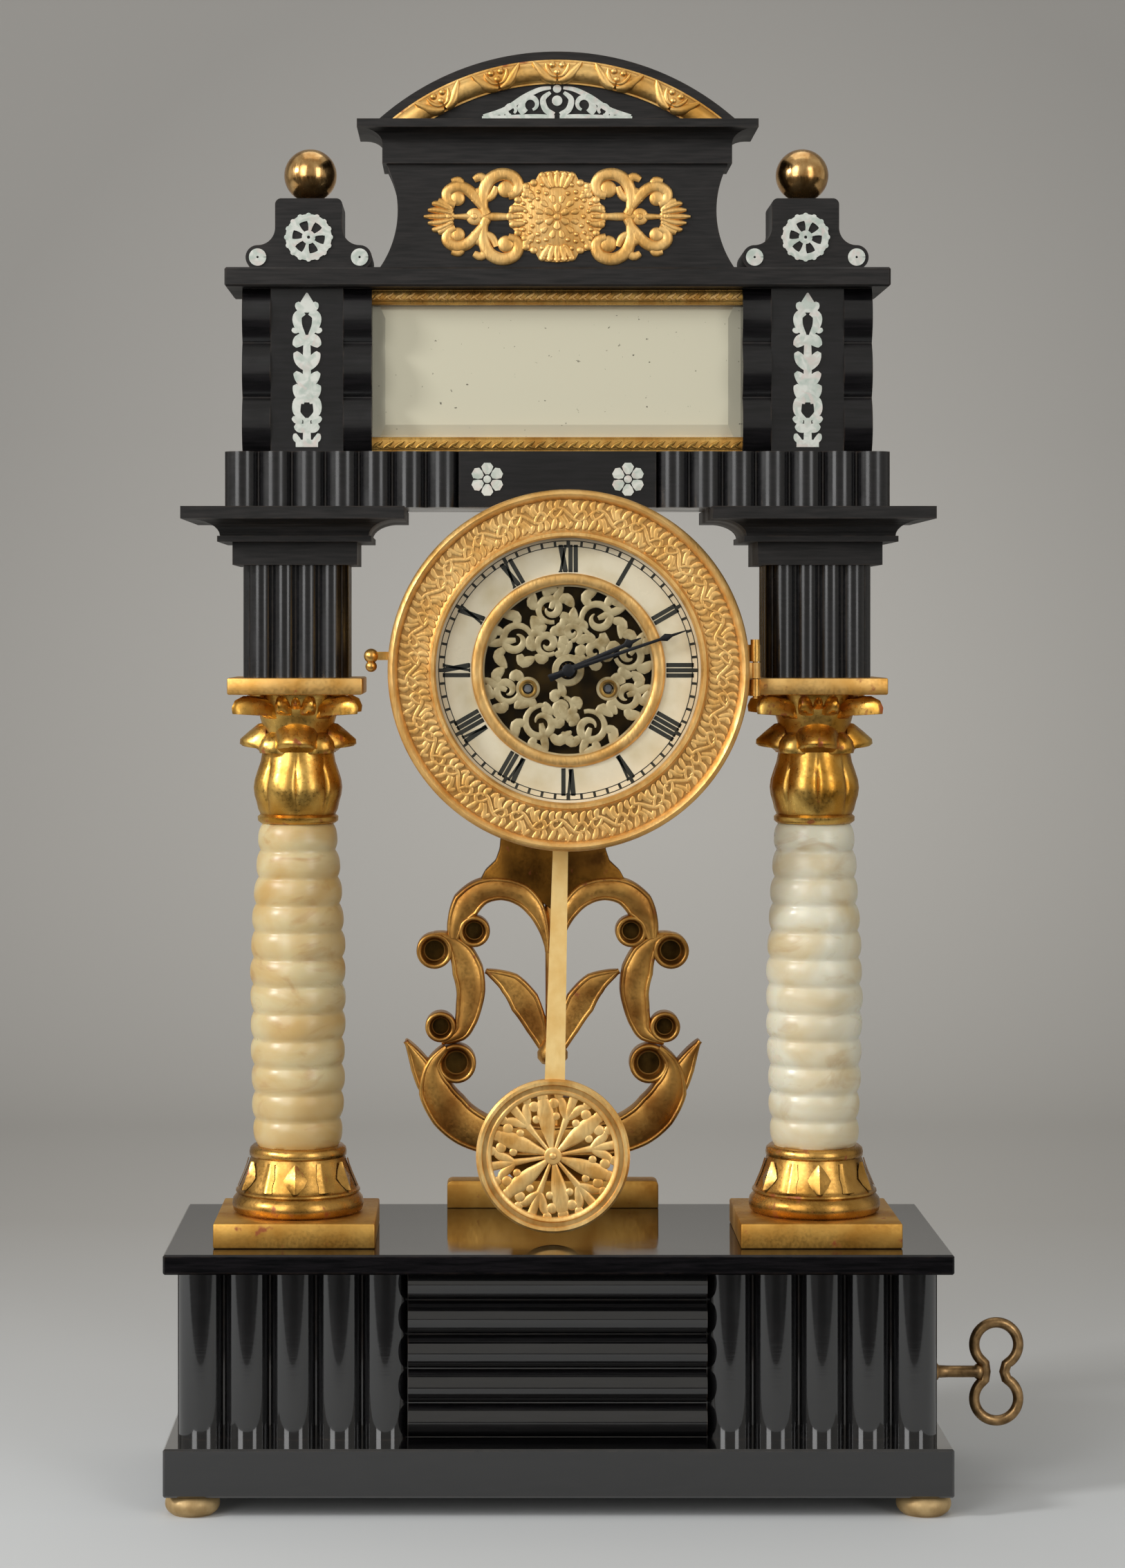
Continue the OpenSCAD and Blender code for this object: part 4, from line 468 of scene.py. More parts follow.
class Carving:
    """A mesh under construction, in millimetres, in the clock's own frame."""

    def __init__(self) -> None:
        """Start with an empty mesh."""
        self.bm = bmesh.new()

    def skin(self, rings: Sequence[Sequence[Vector]], loop: bool, caps: bool, closed: bool = True) -> None:
        """Join rings of points into a surface.

        Args:
            rings: Rows of points, all of one length.
            loop: Whether the last row joins the first.
            caps: Whether the first and last rows are filled.
            closed: Whether each row joins up on itself.
        """
        rows = [[self.bm.verts.new(p) for p in ring] for ring in rings]
        count = len(rows[0])
        for i in range(len(rows) if loop else len(rows) - 1):
            near, far = rows[i], rows[(i + 1) % len(rows)]
            for k in range(count if closed else count - 1):
                n = (k + 1) % count
                self.bm.faces.new((near[k], near[n], far[n], far[k]))
        if caps:
            self.bm.faces.new(rows[0])
            self.bm.faces.new(list(reversed(rows[-1])))

    def lathe(self, profile: Path, centre: Vector, axis: Axis, steps: int = 64, ring: bool = False,
              swell: Callable[[float, float], float] | None = None) -> "Carving":
        """Turn a profile round an axis.

        Args:
            profile: Radius and distance along the axis; FACING counts distance along Y.
            centre: Where radius and distance are zero.
            axis: Which way the axis runs.
            steps: Divisions of the turn.
            ring: Whether the profile is a closed loop.
            swell: Extra radius by angle and distance.

        Returns:
            This carving.
        """
        rings = []
        for s in range(steps):
            angle = 2 * math.pi * s / steps
            row = []
            for radius, along in profile:
                r = radius + (swell(angle, along) if swell and radius > 0 else 0.0)
                x, turned = r * math.cos(angle), r * math.sin(angle)
                offset = (x, turned, along) if axis is Axis.UPRIGHT else (x, along, turned)
                row.append(centre + Vector(offset))
            rings.append(row)
        self.skin(rings, True, False, ring)
        return self

    def ribbon(self, path: Path, half: float | Sequence[float], back: float, edge: float, crown: float,
               arc: int = 6) -> "Carving":
        """Lay a strip with a rounded front along a path seen from the front.

        Args:
            path: Points across and up.
            half: Half width, one or per point.
            back: Y of the flat back.
            edge: Height of the straight sides.
            crown: Height of the rounded front over the sides.
            arc: Divisions of the rounded front.

        Returns:
            This carving.
        """
        widths = [half] * len(path) if isinstance(half, (int, float)) else half
        rings = []
        for i, (x, z) in enumerate(path):
            along = heading(path, i)
            side = Vector((-along.y, along.x)) * max(widths[i], 0.04)
            row = [Vector((x - side.x, back, z - side.y))]
            for k in range(arc + 1):
                u = -math.cos(math.pi * k / arc)
                y = back - edge - crown * math.sqrt(max(0.0, 1 - u * u))
                row.append(Vector((x + side.x * u, y, z + side.y * u)))
            rings.append([*row, Vector((x + side.x, back, z + side.y))])
        self.skin(rings, False, True)
        return self

    def button(self, x: float, z: float, radius: float, back: float, edge: float, crown: float,
               steps: int = 24) -> "Carving":
        """Add a round boss with a domed front."""
        turns = [math.pi * k / 12 for k in range(7)]
        dome = [(radius * math.sin(turn), back - edge - crown * math.cos(turn)) for turn in turns]
        return self.lathe([*dome, (radius, back), (0.0, back)], Vector((x, 0, z)), Axis.FACING, steps)

    def plate(self, outline: Path, front: float, back: float, ease: float) -> "Carving":
        """Cut a flat plate from an outline seen from the front, with eased edges."""
        fresh = bmesh.new()
        face = fresh.faces.new([fresh.verts.new((x, front, z)) for x, z in outline])
        grown = bmesh.ops.extrude_face_region(fresh, geom=[face])
        moved = [v for v in grown["geom"] if isinstance(v, bmesh.types.BMVert)]
        bmesh.ops.translate(fresh, verts=moved, vec=(0, back - front, 0))
        bmesh.ops.bevel(fresh, geom=fresh.edges[:], offset=ease, segments=2, affect="EDGES", profile=0.5)
        self.take(fresh)
        return self

    def block(self, low: Vector, high: Vector, ease: float) -> "Carving":
        """Add a board with eased edges between two corners."""
        outline = [(low.x, low.z), (high.x, low.z), (high.x, high.z), (low.x, high.z)]
        return self.plate(outline, low.y, high.y, ease)

    def take(self, fresh: bmesh.types.BMesh) -> None:
        """Add another mesh to this one and free it."""
        loose = bpy.data.meshes.new("loose")
        fresh.to_mesh(loose)
        fresh.free()
        self.bm.from_mesh(loose)
        bpy.data.meshes.remove(loose)

    def leaf(self, spine: Path, half: Sequence[float], cup: float, thick: float, rib: float) -> "Carving":
        """Add a carved leaf that grows up Y and curls out along Z.

        Args:
            spine: Distance out and up for each station.
            half: Half width at each station.
            cup: How far the sides fall back, as a share of the half width.
            thick: Thickness.
            rib: Height of the middle rib.

        Returns:
            This carving.
        """
        fresh = bmesh.new()
        across = [-1.0, -0.66, -0.33, 0.0, 0.33, 0.66, 1.0]
        rows = []
        for i, (out, up) in enumerate(spine):
            notch = 1.0 - 0.16 * (i % 2)
            rows.append([fresh.verts.new((
                v * half[i] * (notch if abs(v) == 1.0 else 1.0), up,
                out - cup * half[i] * v * v + rib * (1.0 - abs(v)) ** 2)) for v in across])
        for near, far in zip(rows, rows[1:]):
            for k in range(len(across) - 1):
                fresh.faces.new((near[k], near[k + 1], far[k + 1], far[k]))
        bmesh.ops.solidify(fresh, geom=fresh.faces[:], thickness=thick)
        self.take(fresh)
        return self

    def wing(self, outline: Path, half: float, steps: int = 12) -> "Carving":
        """Add a solid curled leaf that grows up Y, curls out along Z and thins to both sides.

        Args:
            outline: Distance out and up for each point of the leaf's middle section; the first is the root.
            half: Half width.
            steps: Sections across the width.

        Returns:
            This carving.
        """
        root_out, root_up = outline[0]
        rings = []
        for k in range(steps + 1):
            across = -1.0 + 2.0 * k / steps
            full = math.sqrt(max(0.03, 1.0 - across * across))
            rib = 0.35 * max(0.0, 1.0 - abs(across) * 4)
            ring = []
            for out, up in outline:
                lift = rib if out > root_out + 1.0 else 0.0
                ring.append(Vector((across * half, root_up + (up - root_up) * (0.55 + 0.45 * full),
                                    root_out + (out - root_out) * full + lift)))
            rings.append(ring)
        self.skin(rings, False, True)
        return self

    def mesh(self, name: str) -> bpy.types.Mesh:
        """Close the mesh, turn its faces outwards and return it in metres."""
        bmesh.ops.remove_doubles(self.bm, verts=self.bm.verts[:], dist=1e-4)
        bmesh.ops.dissolve_degenerate(self.bm, edges=self.bm.edges[:], dist=1e-5)
        bmesh.ops.recalc_face_normals(self.bm, faces=self.bm.faces[:])
        made = bpy.data.meshes.new(name)
        self.bm.to_mesh(made)
        self.bm.free()
        made.transform(Matrix.Scale(MM, 4))
        return made

    def fix(self, name: str, look: Look, body: str, slot: str, *replaced: str,
            smooth: float = SMOOTH) -> None:
        """Finish the carving as a piece that rides on a body, in place of the nodes named."""
        settle(piece(name, self.mesh(name), look, smooth), body, slot, *replaced)


def piece(name: str, mesh: bpy.types.Mesh, look: Look, smooth: float = SMOOTH) -> bpy.types.Object:
    """Put a finished mesh in the scene as a piece.

    Args:
        name: The piece's name.
        mesh: Its mesh, in metres.
        look: Its finish.
        smooth: Edges sharper than this many degrees stay sharp.

    Returns:
        The new object.
    """
    mesh.transform(Matrix.Translation((MIDDLE_X, 0.0, 0.0)))
    made = bpy.data.objects.new(name, mesh)
    bpy.context.scene.collection.objects.link(made)
    mesh.materials.clear()
    mesh.materials.append(look.material())
    mesh.polygons.foreach_set("use_smooth", [True] * len(mesh.polygons))
    mesh.set_sharp_from_angle(angle=math.radians(smooth))
    return made


def settle(made: bpy.types.Object, body: str, slot: str, *replaced: str) -> None:
    """Fix a piece to its body and hide the nodes that it stands for."""
    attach(made, body)
    if replaced:
        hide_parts(*replaced)
    LOG.info("%s rides on %s", made.name, body)


def dress(look: Look, *nodes: str) -> None:
    """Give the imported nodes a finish."""
    for name in nodes:
        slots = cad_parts[name].data.materials
        slots.clear()
        slots.append(look.material())


def ends_of(node: str) -> tuple[Vector, Vector]:
    """Lowest and highest corners of a node's box, in millimetres from the base's middle."""
    low, high = ((corner - Vector((MIDDLE_X, 0.0, 0.0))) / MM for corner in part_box(node))
    return low, high


def middle(node: str) -> Vector:
    """Middle of a node's box, in millimetres from the base's middle."""
    low, high = ends_of(node)
    return (low + high) / 2


def heading(path: Path, i: int) -> Vector:
    """Way that a path runs at one of its points."""
    before, after = path[max(i - 1, 0)], path[min(i + 1, len(path) - 1)]
    return Vector((after[0] - before[0], after[1] - before[1])).normalized()


def mirrored(path: Path) -> list[Point2]:
    """The same path on the other side, run the other way."""
    return [(-x, z) for x, z in reversed(path)]


def around(x: float, z: float, radius: float, angle: float) -> Point2:
    """Point at a distance and an angle from another, seen from the front."""
    return x + radius * math.cos(angle), z + radius * math.sin(angle)


def arc_path(x: float, z: float, radius: float, start: float = 0.0, end: float = 360.0, count: int = 16,
             last_radius: float | None = None) -> list[Point2]:
    """Points on an arc or a spiral, from one angle to another in degrees."""
    stop = radius if last_radius is None else last_radius
    points = []
    for i in range(count + 1):
        share = i / count
        angle = math.radians(start + (end - start) * share)
        points.append(around(x, z, radius + (stop - radius) * share, angle))
    return points


def curve_path(points: Path, count: int = 6) -> list[Point2]:
    """Smooth curve through points seen from the front."""
    full = [points[0], *points, points[-1]]
    smooth: list[Point2] = []
    for a, b, c, d in zip(full, full[1:], full[2:], full[3:]):
        for i in range(count):
            t = i / count
            smooth.append(tuple(
                0.5 * (2 * b[k] + (c[k] - a[k]) * t + (2 * a[k] - 5 * b[k] + 4 * c[k] - d[k]) * t * t
                       + (3 * b[k] - a[k] - 3 * c[k] + d[k]) * t ** 3) for k in (0, 1)))
    return [*smooth, points[-1]]


def taper(count: int, first: float, most: float, last: float, peak: float = 0.5) -> list[float]:
    """Widths that swell from first to most and fall to last."""
    widths = []
    for i in range(count):
        share = i / (count - 1)
        if share < peak:
            widths.append(first + (most - first) * math.sin(math.pi / 2 * share / peak))
        else:
            widths.append(last + (most - last) * math.cos(math.pi / 2 * (share - peak) / (1 - peak)))
    return widths


class Repeat(Enum):
    """How a motif repeats."""

    RING = "ring"
    ROW = "row"


@dataclass
class Repeater:
    """Geometry Nodes that repeat a motif round a ring about Y, or along a row on X."""

    kind: Repeat

    def tree(self) -> Tree:
        """Return the node tree, building it the first time."""
        name = f"repeat_{self.kind.value}"
        made = bpy.data.node_groups.get(name)
        if made is not None:
            return made
        made = bpy.data.node_groups.new(name, "GeometryNodeTree")
        for label, kind in (("Motif", "Object"), ("Count", "Int"), ("Radius", "Float"), ("Start", "Float"),
                            ("Step", "Float"), ("Finish", "Material")):
            made.interface.new_socket(label, in_out="INPUT", socket_type=f"NodeSocket{kind}")
        made.interface.new_socket("Geometry", in_out="OUTPUT", socket_type="NodeSocketGeometry")
        given = add(made, "NodeGroupInput").outputs
        index = add(made, "GeometryNodeInputIndex").outputs[0]
        run = reckon(made, "MULTIPLY_ADD", index, given["Step"], given["Start"])
        place, turn = self.places(made, run, given["Radius"])
        points = add(made, "GeometryNodePoints", {"Count": given["Count"], "Position": place})
        motif = add(made, "GeometryNodeObjectInfo", {"Object": given["Motif"]})
        copies = add(made, "GeometryNodeInstanceOnPoints", {
            "Points": points.outputs[0], "Instance": motif.outputs["Geometry"], "Rotation": turn})
        real = add(made, "GeometryNodeRealizeInstances", {0: copies.outputs[0]})
        clad = add(made, "GeometryNodeSetMaterial", {
            "Geometry": real.outputs[0], "Material": given["Finish"]})
        add(made, "NodeGroupOutput", {"Geometry": clad.outputs[0]})
        return made

    def places(self, tree: Tree, run: Socket, radius: Socket) -> tuple[Socket, Socket]:
        """Return the place and the turn of each copy."""
        if self.kind is Repeat.ROW:
            across, about = {"X": run}, {}
        else:
            east = reckon(tree, "MULTIPLY", reckon(tree, "SINE", run), radius)
            north = reckon(tree, "MULTIPLY", reckon(tree, "COSINE", run), radius)
            across, about = {"X": east, "Z": north}, {"Y": run}
        place = add(tree, "ShaderNodeCombineXYZ", across).outputs[0]
        angles = add(tree, "ShaderNodeCombineXYZ", about).outputs[0]
        return place, add(tree, "FunctionNodeEulerToRotation", {"Euler": angles}).outputs[0]

    def make(self, name: str, motif: Carving, look: Look, body: str, slot: str, place: Matrix, count: int,
             step: float, start: float = 0.0, radius: float = 0.0, smooth: float = SMOOTH) -> None:
        """Repeat a motif and settle the result as one plain piece.

        Args:
            name: The piece's name.
            motif: One copy, in millimetres; on a ring its outward side is +Z.
            look: Its finish.
            body: The body that it rides on.
            slot: Its material slot; not used.
            place: Where the ring or row sits, in millimetres.
            count: Number of copies.
            step: Degrees on a ring, millimetres on a row.
            start: Angle or distance of the first copy.
            radius: Radius of the ring.
            smooth: Edges sharper than this many degrees stay sharp.
        """
        unit = math.radians(1.0) if self.kind is Repeat.RING else MM
        seed = bpy.data.objects.new("motif", motif.mesh("motif"))
        carrier = bpy.data.objects.new("carrier", bpy.data.meshes.new("carrier"))
        for helper in (seed, carrier):
            bpy.context.scene.collection.objects.link(helper)
        modifier = carrier.modifiers.new("repeat", "NODES")
        modifier.node_group = self.tree()
        values = {"Motif": seed, "Count": count, "Radius": radius * MM, "Start": start * unit,
                  "Step": step * unit, "Finish": look.material()}
        for item in modifier.node_group.interface.items_tree:
            if item.in_out == "INPUT":
                modifier[item.identifier] = values[item.name]
        bpy.context.view_layer.update()
        solved = carrier.evaluated_get(bpy.context.evaluated_depsgraph_get())
        mesh = bpy.data.meshes.new_from_object(solved)
        carrier.modifiers.remove(modifier)
        for helper in (seed, carrier):
            bpy.data.objects.remove(helper)
        metres = place.copy()
        metres.translation = metres.translation * MM
        mesh.transform(metres)
        settle(piece(name, mesh, look, smooth), body, slot)


RING = Repeater(Repeat.RING)
ROW = Repeater(Repeat.ROW)


def upright_ring(centre: Vector) -> Matrix:
    """Place of a ring that lies level round an upright axis."""
    return Matrix.Translation(centre) @ Matrix.Rotation(math.pi / 2, 4, "X")


@dataclass
class Studio:
    """Floor, light and the camera at the photograph's place."""

    eye: Vector
    lens: float = 80.8
    shift: Point2 = (0.0518, -0.0970)
    paper_near: float = -310.0
    paper_far: float = 1500.0
    paper_bend: float = 500.0
    paper_tall: float = 3000.0
    half_wide: float = 4000.0
    floor_drop: float = 3.0
    daylight: str = "#e9e6df"
    daylight_power: float = 0.55

    def build(self) -> None:
        """Make the sweep, the lamps, the world and the camera."""
        self.sweep()
        self.lamp("key", (-1.05, -1.6, 1.0), (0.0, 0.0, 0.3), (0.8, 1.5), 16.0)
        self.lamp("fill", (1.1, -1.6, 0.8), (0.0, 0.0, 0.3), (0.6, 1.4), 9.0)
        self.lamp("side", (-1.5, -0.75, 1.0), (0.15, 0.05, 0.1), (0.3, 0.3), 17.0)
        self.lamp("top", (0.0, 0.2, 1.9), (0.0, 0.1, 0.0), (1.2, 1.2), 4.0)
        self.world()
        self.camera()

    def sweep(self) -> None:
        """Paper that runs back over the floor and turns up behind, with the dark floor in front of it."""
        bend, foot = self.paper_bend, self.paper_far - self.paper_bend
        turns = [math.pi * k / 24 for k in range(1, 13)]
        curl = [(foot + bend * math.sin(turn), bend - bend * math.cos(turn)) for turn in turns]
        self.sheet("paper_sweep", Look.PAPER,
                   [(self.paper_near, 0.0), (foot, 0.0), *curl, (self.paper_far, self.paper_tall)])
        self.sheet("studio_floor", Look.FLOOR,
                   [(-self.half_wide, -self.floor_drop), (self.paper_near, -self.floor_drop)])

    def sheet(self, name: str, look: Look, profile: Path) -> None:
        """Draw a profile seen from the side across the whole studio."""
        shape = Carving()
        rows = [[Vector((x, y, z)) for y, z in profile] for x in (-self.half_wide, self.half_wide)]
        shape.skin(rows, False, False, False)
        piece(name, shape.mesh(name), look)

    def lamp(self, name: str, place: Triple, aim: Triple, size: Point2, power: float) -> None:
        """Hang one soft oblong lamp, in metres."""
        data = bpy.data.lights.new(name, "AREA")
        data.shape = "RECTANGLE"
        data.size, data.size_y = size
        data.energy = power
        made = bpy.data.objects.new(name, data)
        made.location = place
        made.rotation_euler = (Vector(aim) - Vector(place)).to_track_quat("-Z", "Y").to_euler()
        bpy.context.scene.collection.objects.link(made)

    def world(self) -> None:
        """Even pale light from all round."""
        world = bpy.data.worlds.new("studio")
        world.use_nodes = True
        tree = world.node_tree
        feed(tree, tree.nodes["Background"], {
            "Color": linear(self.daylight), "Strength": self.daylight_power})
        bpy.context.scene.world = world

    def camera(self) -> None:
        """Set the camera level, looking along Y, with the photograph's framing."""
        data = bpy.data.cameras.new("camera")
        data.lens = self.lens
        data.shift_x, data.shift_y = self.shift
        made = bpy.data.objects.new("camera", data)
        made.location = self.eye
        made.rotation_euler = (math.pi / 2, 0.0, 0.0)
        scene = bpy.context.scene
        scene.collection.objects.link(made)
        scene.camera = made
        scene.view_settings.view_transform = "Standard"


@dataclass
class Casework:
    """Black case: base, blocks, imposts, frieze, attic and crest boards, with the mirror."""

    boards: tuple[str, ...] = ("imposts", "mirror_board", "attic_cornice", "ball_pedestals", "crest_panel",
                               "crest_cornice", "pediment_board")
    polished: tuple[str, ...] = ("base_plinth", "base_carcase", "base_reeding")
    strip_tall: float = 6.0
    bead_at: float = 2.4
    leaf_pitch: float = 4.2

    def build(self) -> None:
        """Dress the boards and the mirror, and lay the mirror's stamped strips."""
        dress(Look.MATT, *self.boards)
        dress(Look.REEDS, *self.polished)
        dress(Look.EBONY, "frieze", "attic_piers", "reeded_blocks")
        dress(Look.SLAB, "base_top")
        dress(Look.MIRROR, "mirror_glass")
        dress(Look.FOOT_BRASS, "feet")
        dress(Look.STEEL, "tie_rods")
        self.strips()

    def strips(self) -> None:
        """Stamped strips over and under the mirror: a hollow with a row of leaves between two beads."""
        low, high = ends_of("mirror_mouldings")
        half = self.strip_tall / 2
        levels = (low.z + half, high.z - half)
        body = Carving()
        for z in levels:
            body.ribbon([(low.x, z), (high.x, z)], half, high.y, high.y - low.y - 2.2, 1.0)
            for rim in SIDES:
                bead = z + rim * self.bead_at
                body.ribbon([(low.x, bead), (high.x, bead)], 0.55, high.y - 3.2, 0.6, 0.7)
        body.fix("mirror_strips", Look.GILT_BRASS, CASE, "gilt_wood", "mirror_mouldings")
        count = int((high.x - low.x) / self.leaf_pitch)
        for label, z, look in zip(("lower", "upper"), levels, (Look.OLD_BRASS, Look.STAMPED)):
            leaf = Carving()
            blade = [(-1.9, -1.2), (-0.6, -0.2), (0.8, 0.5), (1.9, 1.4)]
            leaf.ribbon(blade, [0.3, 0.8, 0.7, 0.2], 0.0, 0.2, 0.5, 4)
            leaf.ribbon([(-0.4, -0.2), (0.6, -1.0), (1.7, -1.3)], [0.5, 0.5, 0.15], 0.0, 0.2, 0.4, 4)
            place = Matrix.Translation((low.x + self.leaf_pitch / 2, low.y + 1.3, z))
            ROW.make(f"mirror_strip_leaves_{label}", leaf, look, CASE, "gilt_wood", place, count,
                     self.leaf_pitch)


@dataclass
class Columns:
    """Two columns: gilt plinth and foot, ringed alabaster shaft, gilt capital and abacus."""

    rings: int = 12
    ring_depth: float = 1.3
    swell_at: float = 0.42
    bottom_d: float = 34.0
    mid_d: float = 37.6
    top_d: float = 30.4
    bulb_d: float = 35.6
    lower_leaf_d: float = 45.0
    board_ease: float = 0.7

    def build(self) -> None:
        """Make every piece of both columns."""
        self.squares("column_plinths", "column_plinth_boards", Look.GILT_FLAT)
        self.squares("abaci", "abacus_boards", Look.GILT_PALE)
        reach = ends_of("column_shafts")[1].x - self.mid_d / 2
        for label, x in (("left", -reach), ("right", reach)):
            base = Vector((x, middle("column_shafts").y, 0.0))
            self.foot(label, base)
            self.shaft(label, base)
            self.capital(label, base)

    def squares(self, node: str, name: str, look: Look) -> None:
        """Make a pair of square gilt boards with eased edges in place of a packed pair."""
        low, high = ends_of(node)
        wide = high.y - low.y
        boards = Carving()
        boards.block(low, Vector((low.x + wide, high.y, high.z)), self.board_ease)
        boards.block(Vector((high.x - wide, low.y, low.z)), high, self.board_ease)
        boards.fix(name, look, CASE, "gilt_wood", node)

    def seat(self, node: str, base: Vector) -> tuple[Vector, float]:
        """Foot of one column's piece, on the column's axis, and the piece's height."""
        low, high = ends_of(node)
        return base + Vector((0, 0, low.z)), high.z - low.z

    def foot(self, label: str, base: Vector) -> None:
        """Turn the gilt foot: torus, bead, flared bell and top ring, with leaves and tongues round it."""
        seat, tall = self.seat("column_feet", base)
        shares = [k / 12 for k in range(13)]
        bell = [(18.4 + 4.8 * (1 - share) ** 1.15, 9.6 + (tall - 13.8) * share) for share in shares]
        profile = [(0.0, 0.0), (23.8, 0.0), (25.2, 1.2), (25.7, 3.4), (25.3, 5.6), (24.0, 7.2), (23.6, 7.7),
                   (24.3, 8.3), (24.2, 9.0), (23.4, 9.4), *bell, (18.9, tall - 3.8), (19.0, tall - 2.4),
                   (18.7, tall - 1.0), (17.6, tall), (0.0, tall)]
        turned = Carving().lathe(profile, seat, Axis.UPRIGHT, 80)
        turned.fix(f"column_foot_{label}", Look.GILT_FOOT, CASE, "gilt_wood", "column_feet", smooth=50.0)
        tongue = Carving().leaf([(23.3, 10.0), (22.2, 12.6), (21.0, 15.4), (19.9, 18.4), (19.2, 20.8)],
                                [2.9, 2.9, 2.7, 2.4, 1.6], 0.05, 0.8, 0.35)
        leaf = Carving().leaf([(23.5, 10.0), (22.7, 12.2), (21.7, 14.8), (20.6, 17.6), (19.6, 20.6)],
                              [1.2, 3.8, 4.6, 3.4, 0.5], 0.16, 0.8, 0.9)
        for row, motif, turn in (("tongues", tongue, 30.0), ("leaves", leaf, 0.0)):
            RING.make(f"column_foot_{row}_{label}", motif, Look.GILT_FOOT, CASE, "gilt_wood",
                      upright_ring(seat), 6, 60.0, turn)

    def girth(self, share: float) -> float:
        """Radius of the shaft at a share of its height."""
        if share < self.swell_at:
            end, away = self.bottom_d, (self.swell_at - share) / self.swell_at
        else:
            end, away = self.top_d, (share - self.swell_at) / (1 - self.swell_at)
        body = self.mid_d - (self.mid_d - end) * away ** 2
        wave = abs(math.sin(math.pi * self.rings * share))
        return body / 2 - self.ring_depth * (1 - wave) ** 1.4 - 0.1

    def shaft(self, label: str, base: Vector) -> None:
        """Turn the shaft by hand: rings that wander a little in height and girth."""
        seat, tall = self.seat("column_shafts", base)
        steps = self.rings * 10
        phase, stone = (0.7, Look.STONE_LEFT) if label == "left" else (2.4, Look.STONE_RIGHT)
        turned = [(self.girth(i / steps), tall * i / steps) for i in range(steps + 1)]

        def wander(angle: float, along: float) -> float:
            """Small unevenness of hand turning."""
            wide = 0.16 * math.sin(2 * angle + phase + along * 0.09)
            return wide + 0.12 * math.sin(5 * angle - along * 0.23 + phase)

        body = Carving().lathe([(0.0, 0.0), *turned, (0.0, tall)], seat, Axis.UPRIGHT, 72, False, wander)
        body.fix(f"alabaster_shaft_{label}", stone, CASE, "alabaster", "column_shafts", smooth=60.0)

    def capital(self, label: str, base: Vector) -> None:
        """Carve the capital: collar, lobed bulb, bell, curled leaves, corner scrolls and small curls."""
        seat, tall = self.seat("capitals", base)
        bulb, collar = self.bulb_d / 2 - 0.5, self.top_d / 2
        profile = [(0.0, 0.0), (collar - 0.7, 0.0), (collar + 0.5, 1.0), (collar + 0.6, 2.6),
                   (collar - 0.5, 3.6), (collar + 0.4, 5.4), (bulb - 1.0, 8.6), (bulb - 0.3, 11.0),
                   (bulb, 14.0), (bulb - 0.4, 17.0), (bulb - 1.4, 20.4), (bulb - 2.6, 24.0),
                   (bulb - 3.4, 28.6), (bulb - 3.6, tall * 0.68), (bulb - 3.0, tall * 0.78),
                   (bulb - 1.2, tall * 0.9), (bulb + 2.4, tall - 0.4), (bulb + 2.4, tall), (0.0, tall)]

        def lobes(angle: float, along: float) -> float:
            """Eight swellings round the bulb."""
            window = max(0.0, 1.0 - abs(along - 15.5) / 10.5)
            return 1.9 * window ** 0.6 * (abs(math.sin(4 * angle)) ** 0.5 - 0.72)

        core = Carving().lathe(profile, seat, Axis.UPRIGHT, 128, False, lobes)
        core.fix(f"capital_{label}", Look.GILT_WOOD, CASE, "gilt_wood", "capitals", smooth=50.0)
        tip = self.lower_leaf_d / 2
        leaf = [(12.0, 27.6), (12.4, 39.4), (15.2, 38.8), (tip - 3.8, 36.0), (tip - 0.2, 32.8), (tip, 31.0),
                (tip - 1.2, 30.0), (tip - 3.2, 30.6), (tip - 5.0, 30.2), (15.0, 28.2)]
        fold = [(12.0, 27.0), (12.4, 36.0), (14.4, 35.6), (17.6, 32.6), (18.6, 29.4), (17.8, 27.6),
                (16.0, 28.2)]
        corner = [(13.6, 40.6), (15.4, 45.4), (21.0, tall - 0.7), (28.0, tall - 0.5), (32.4, tall - 2.2),
                  (34.0, tall - 5.0), (33.6, tall - 7.4), (32.0, tall - 7.0), (31.0, tall - 4.8),
                  (27.6, tall - 4.2), (22.6, tall - 5.4), (18.0, 42.0)]
        curl = [(13.4, 41.4), (14.0, 47.6), (17.4, tall - 0.6), (21.0, tall - 0.8), (22.8, 47.4),
                (22.4, 44.8), (20.4, 43.4), (18.0, 43.8)]
        sprig = [(13.0, 43.8), (13.6, tall - 0.8), (18.0, tall - 0.6), (20.6, 48.4), (20.8, 46.4),
                 (18.6, 45.6)]
        rows = (("leaves", leaf, 8.4, 0.0), ("folds", fold, 6.2, 45.0), ("corners", corner, 3.6, 45.0),
                ("curls", curl, 3.1, 17.0), ("helices", curl, 3.1, -17.0), ("sprigs", sprig, 2.2, 0.0))
        for row, outline, half, turn in rows:
            motif = Carving().wing(outline, half)
            RING.make(f"capital_{row}_{label}", motif, Look.GILT_WOOD, CASE, "gilt_wood",
                      upright_ring(seat), 4, 90.0, turn, smooth=60.0)


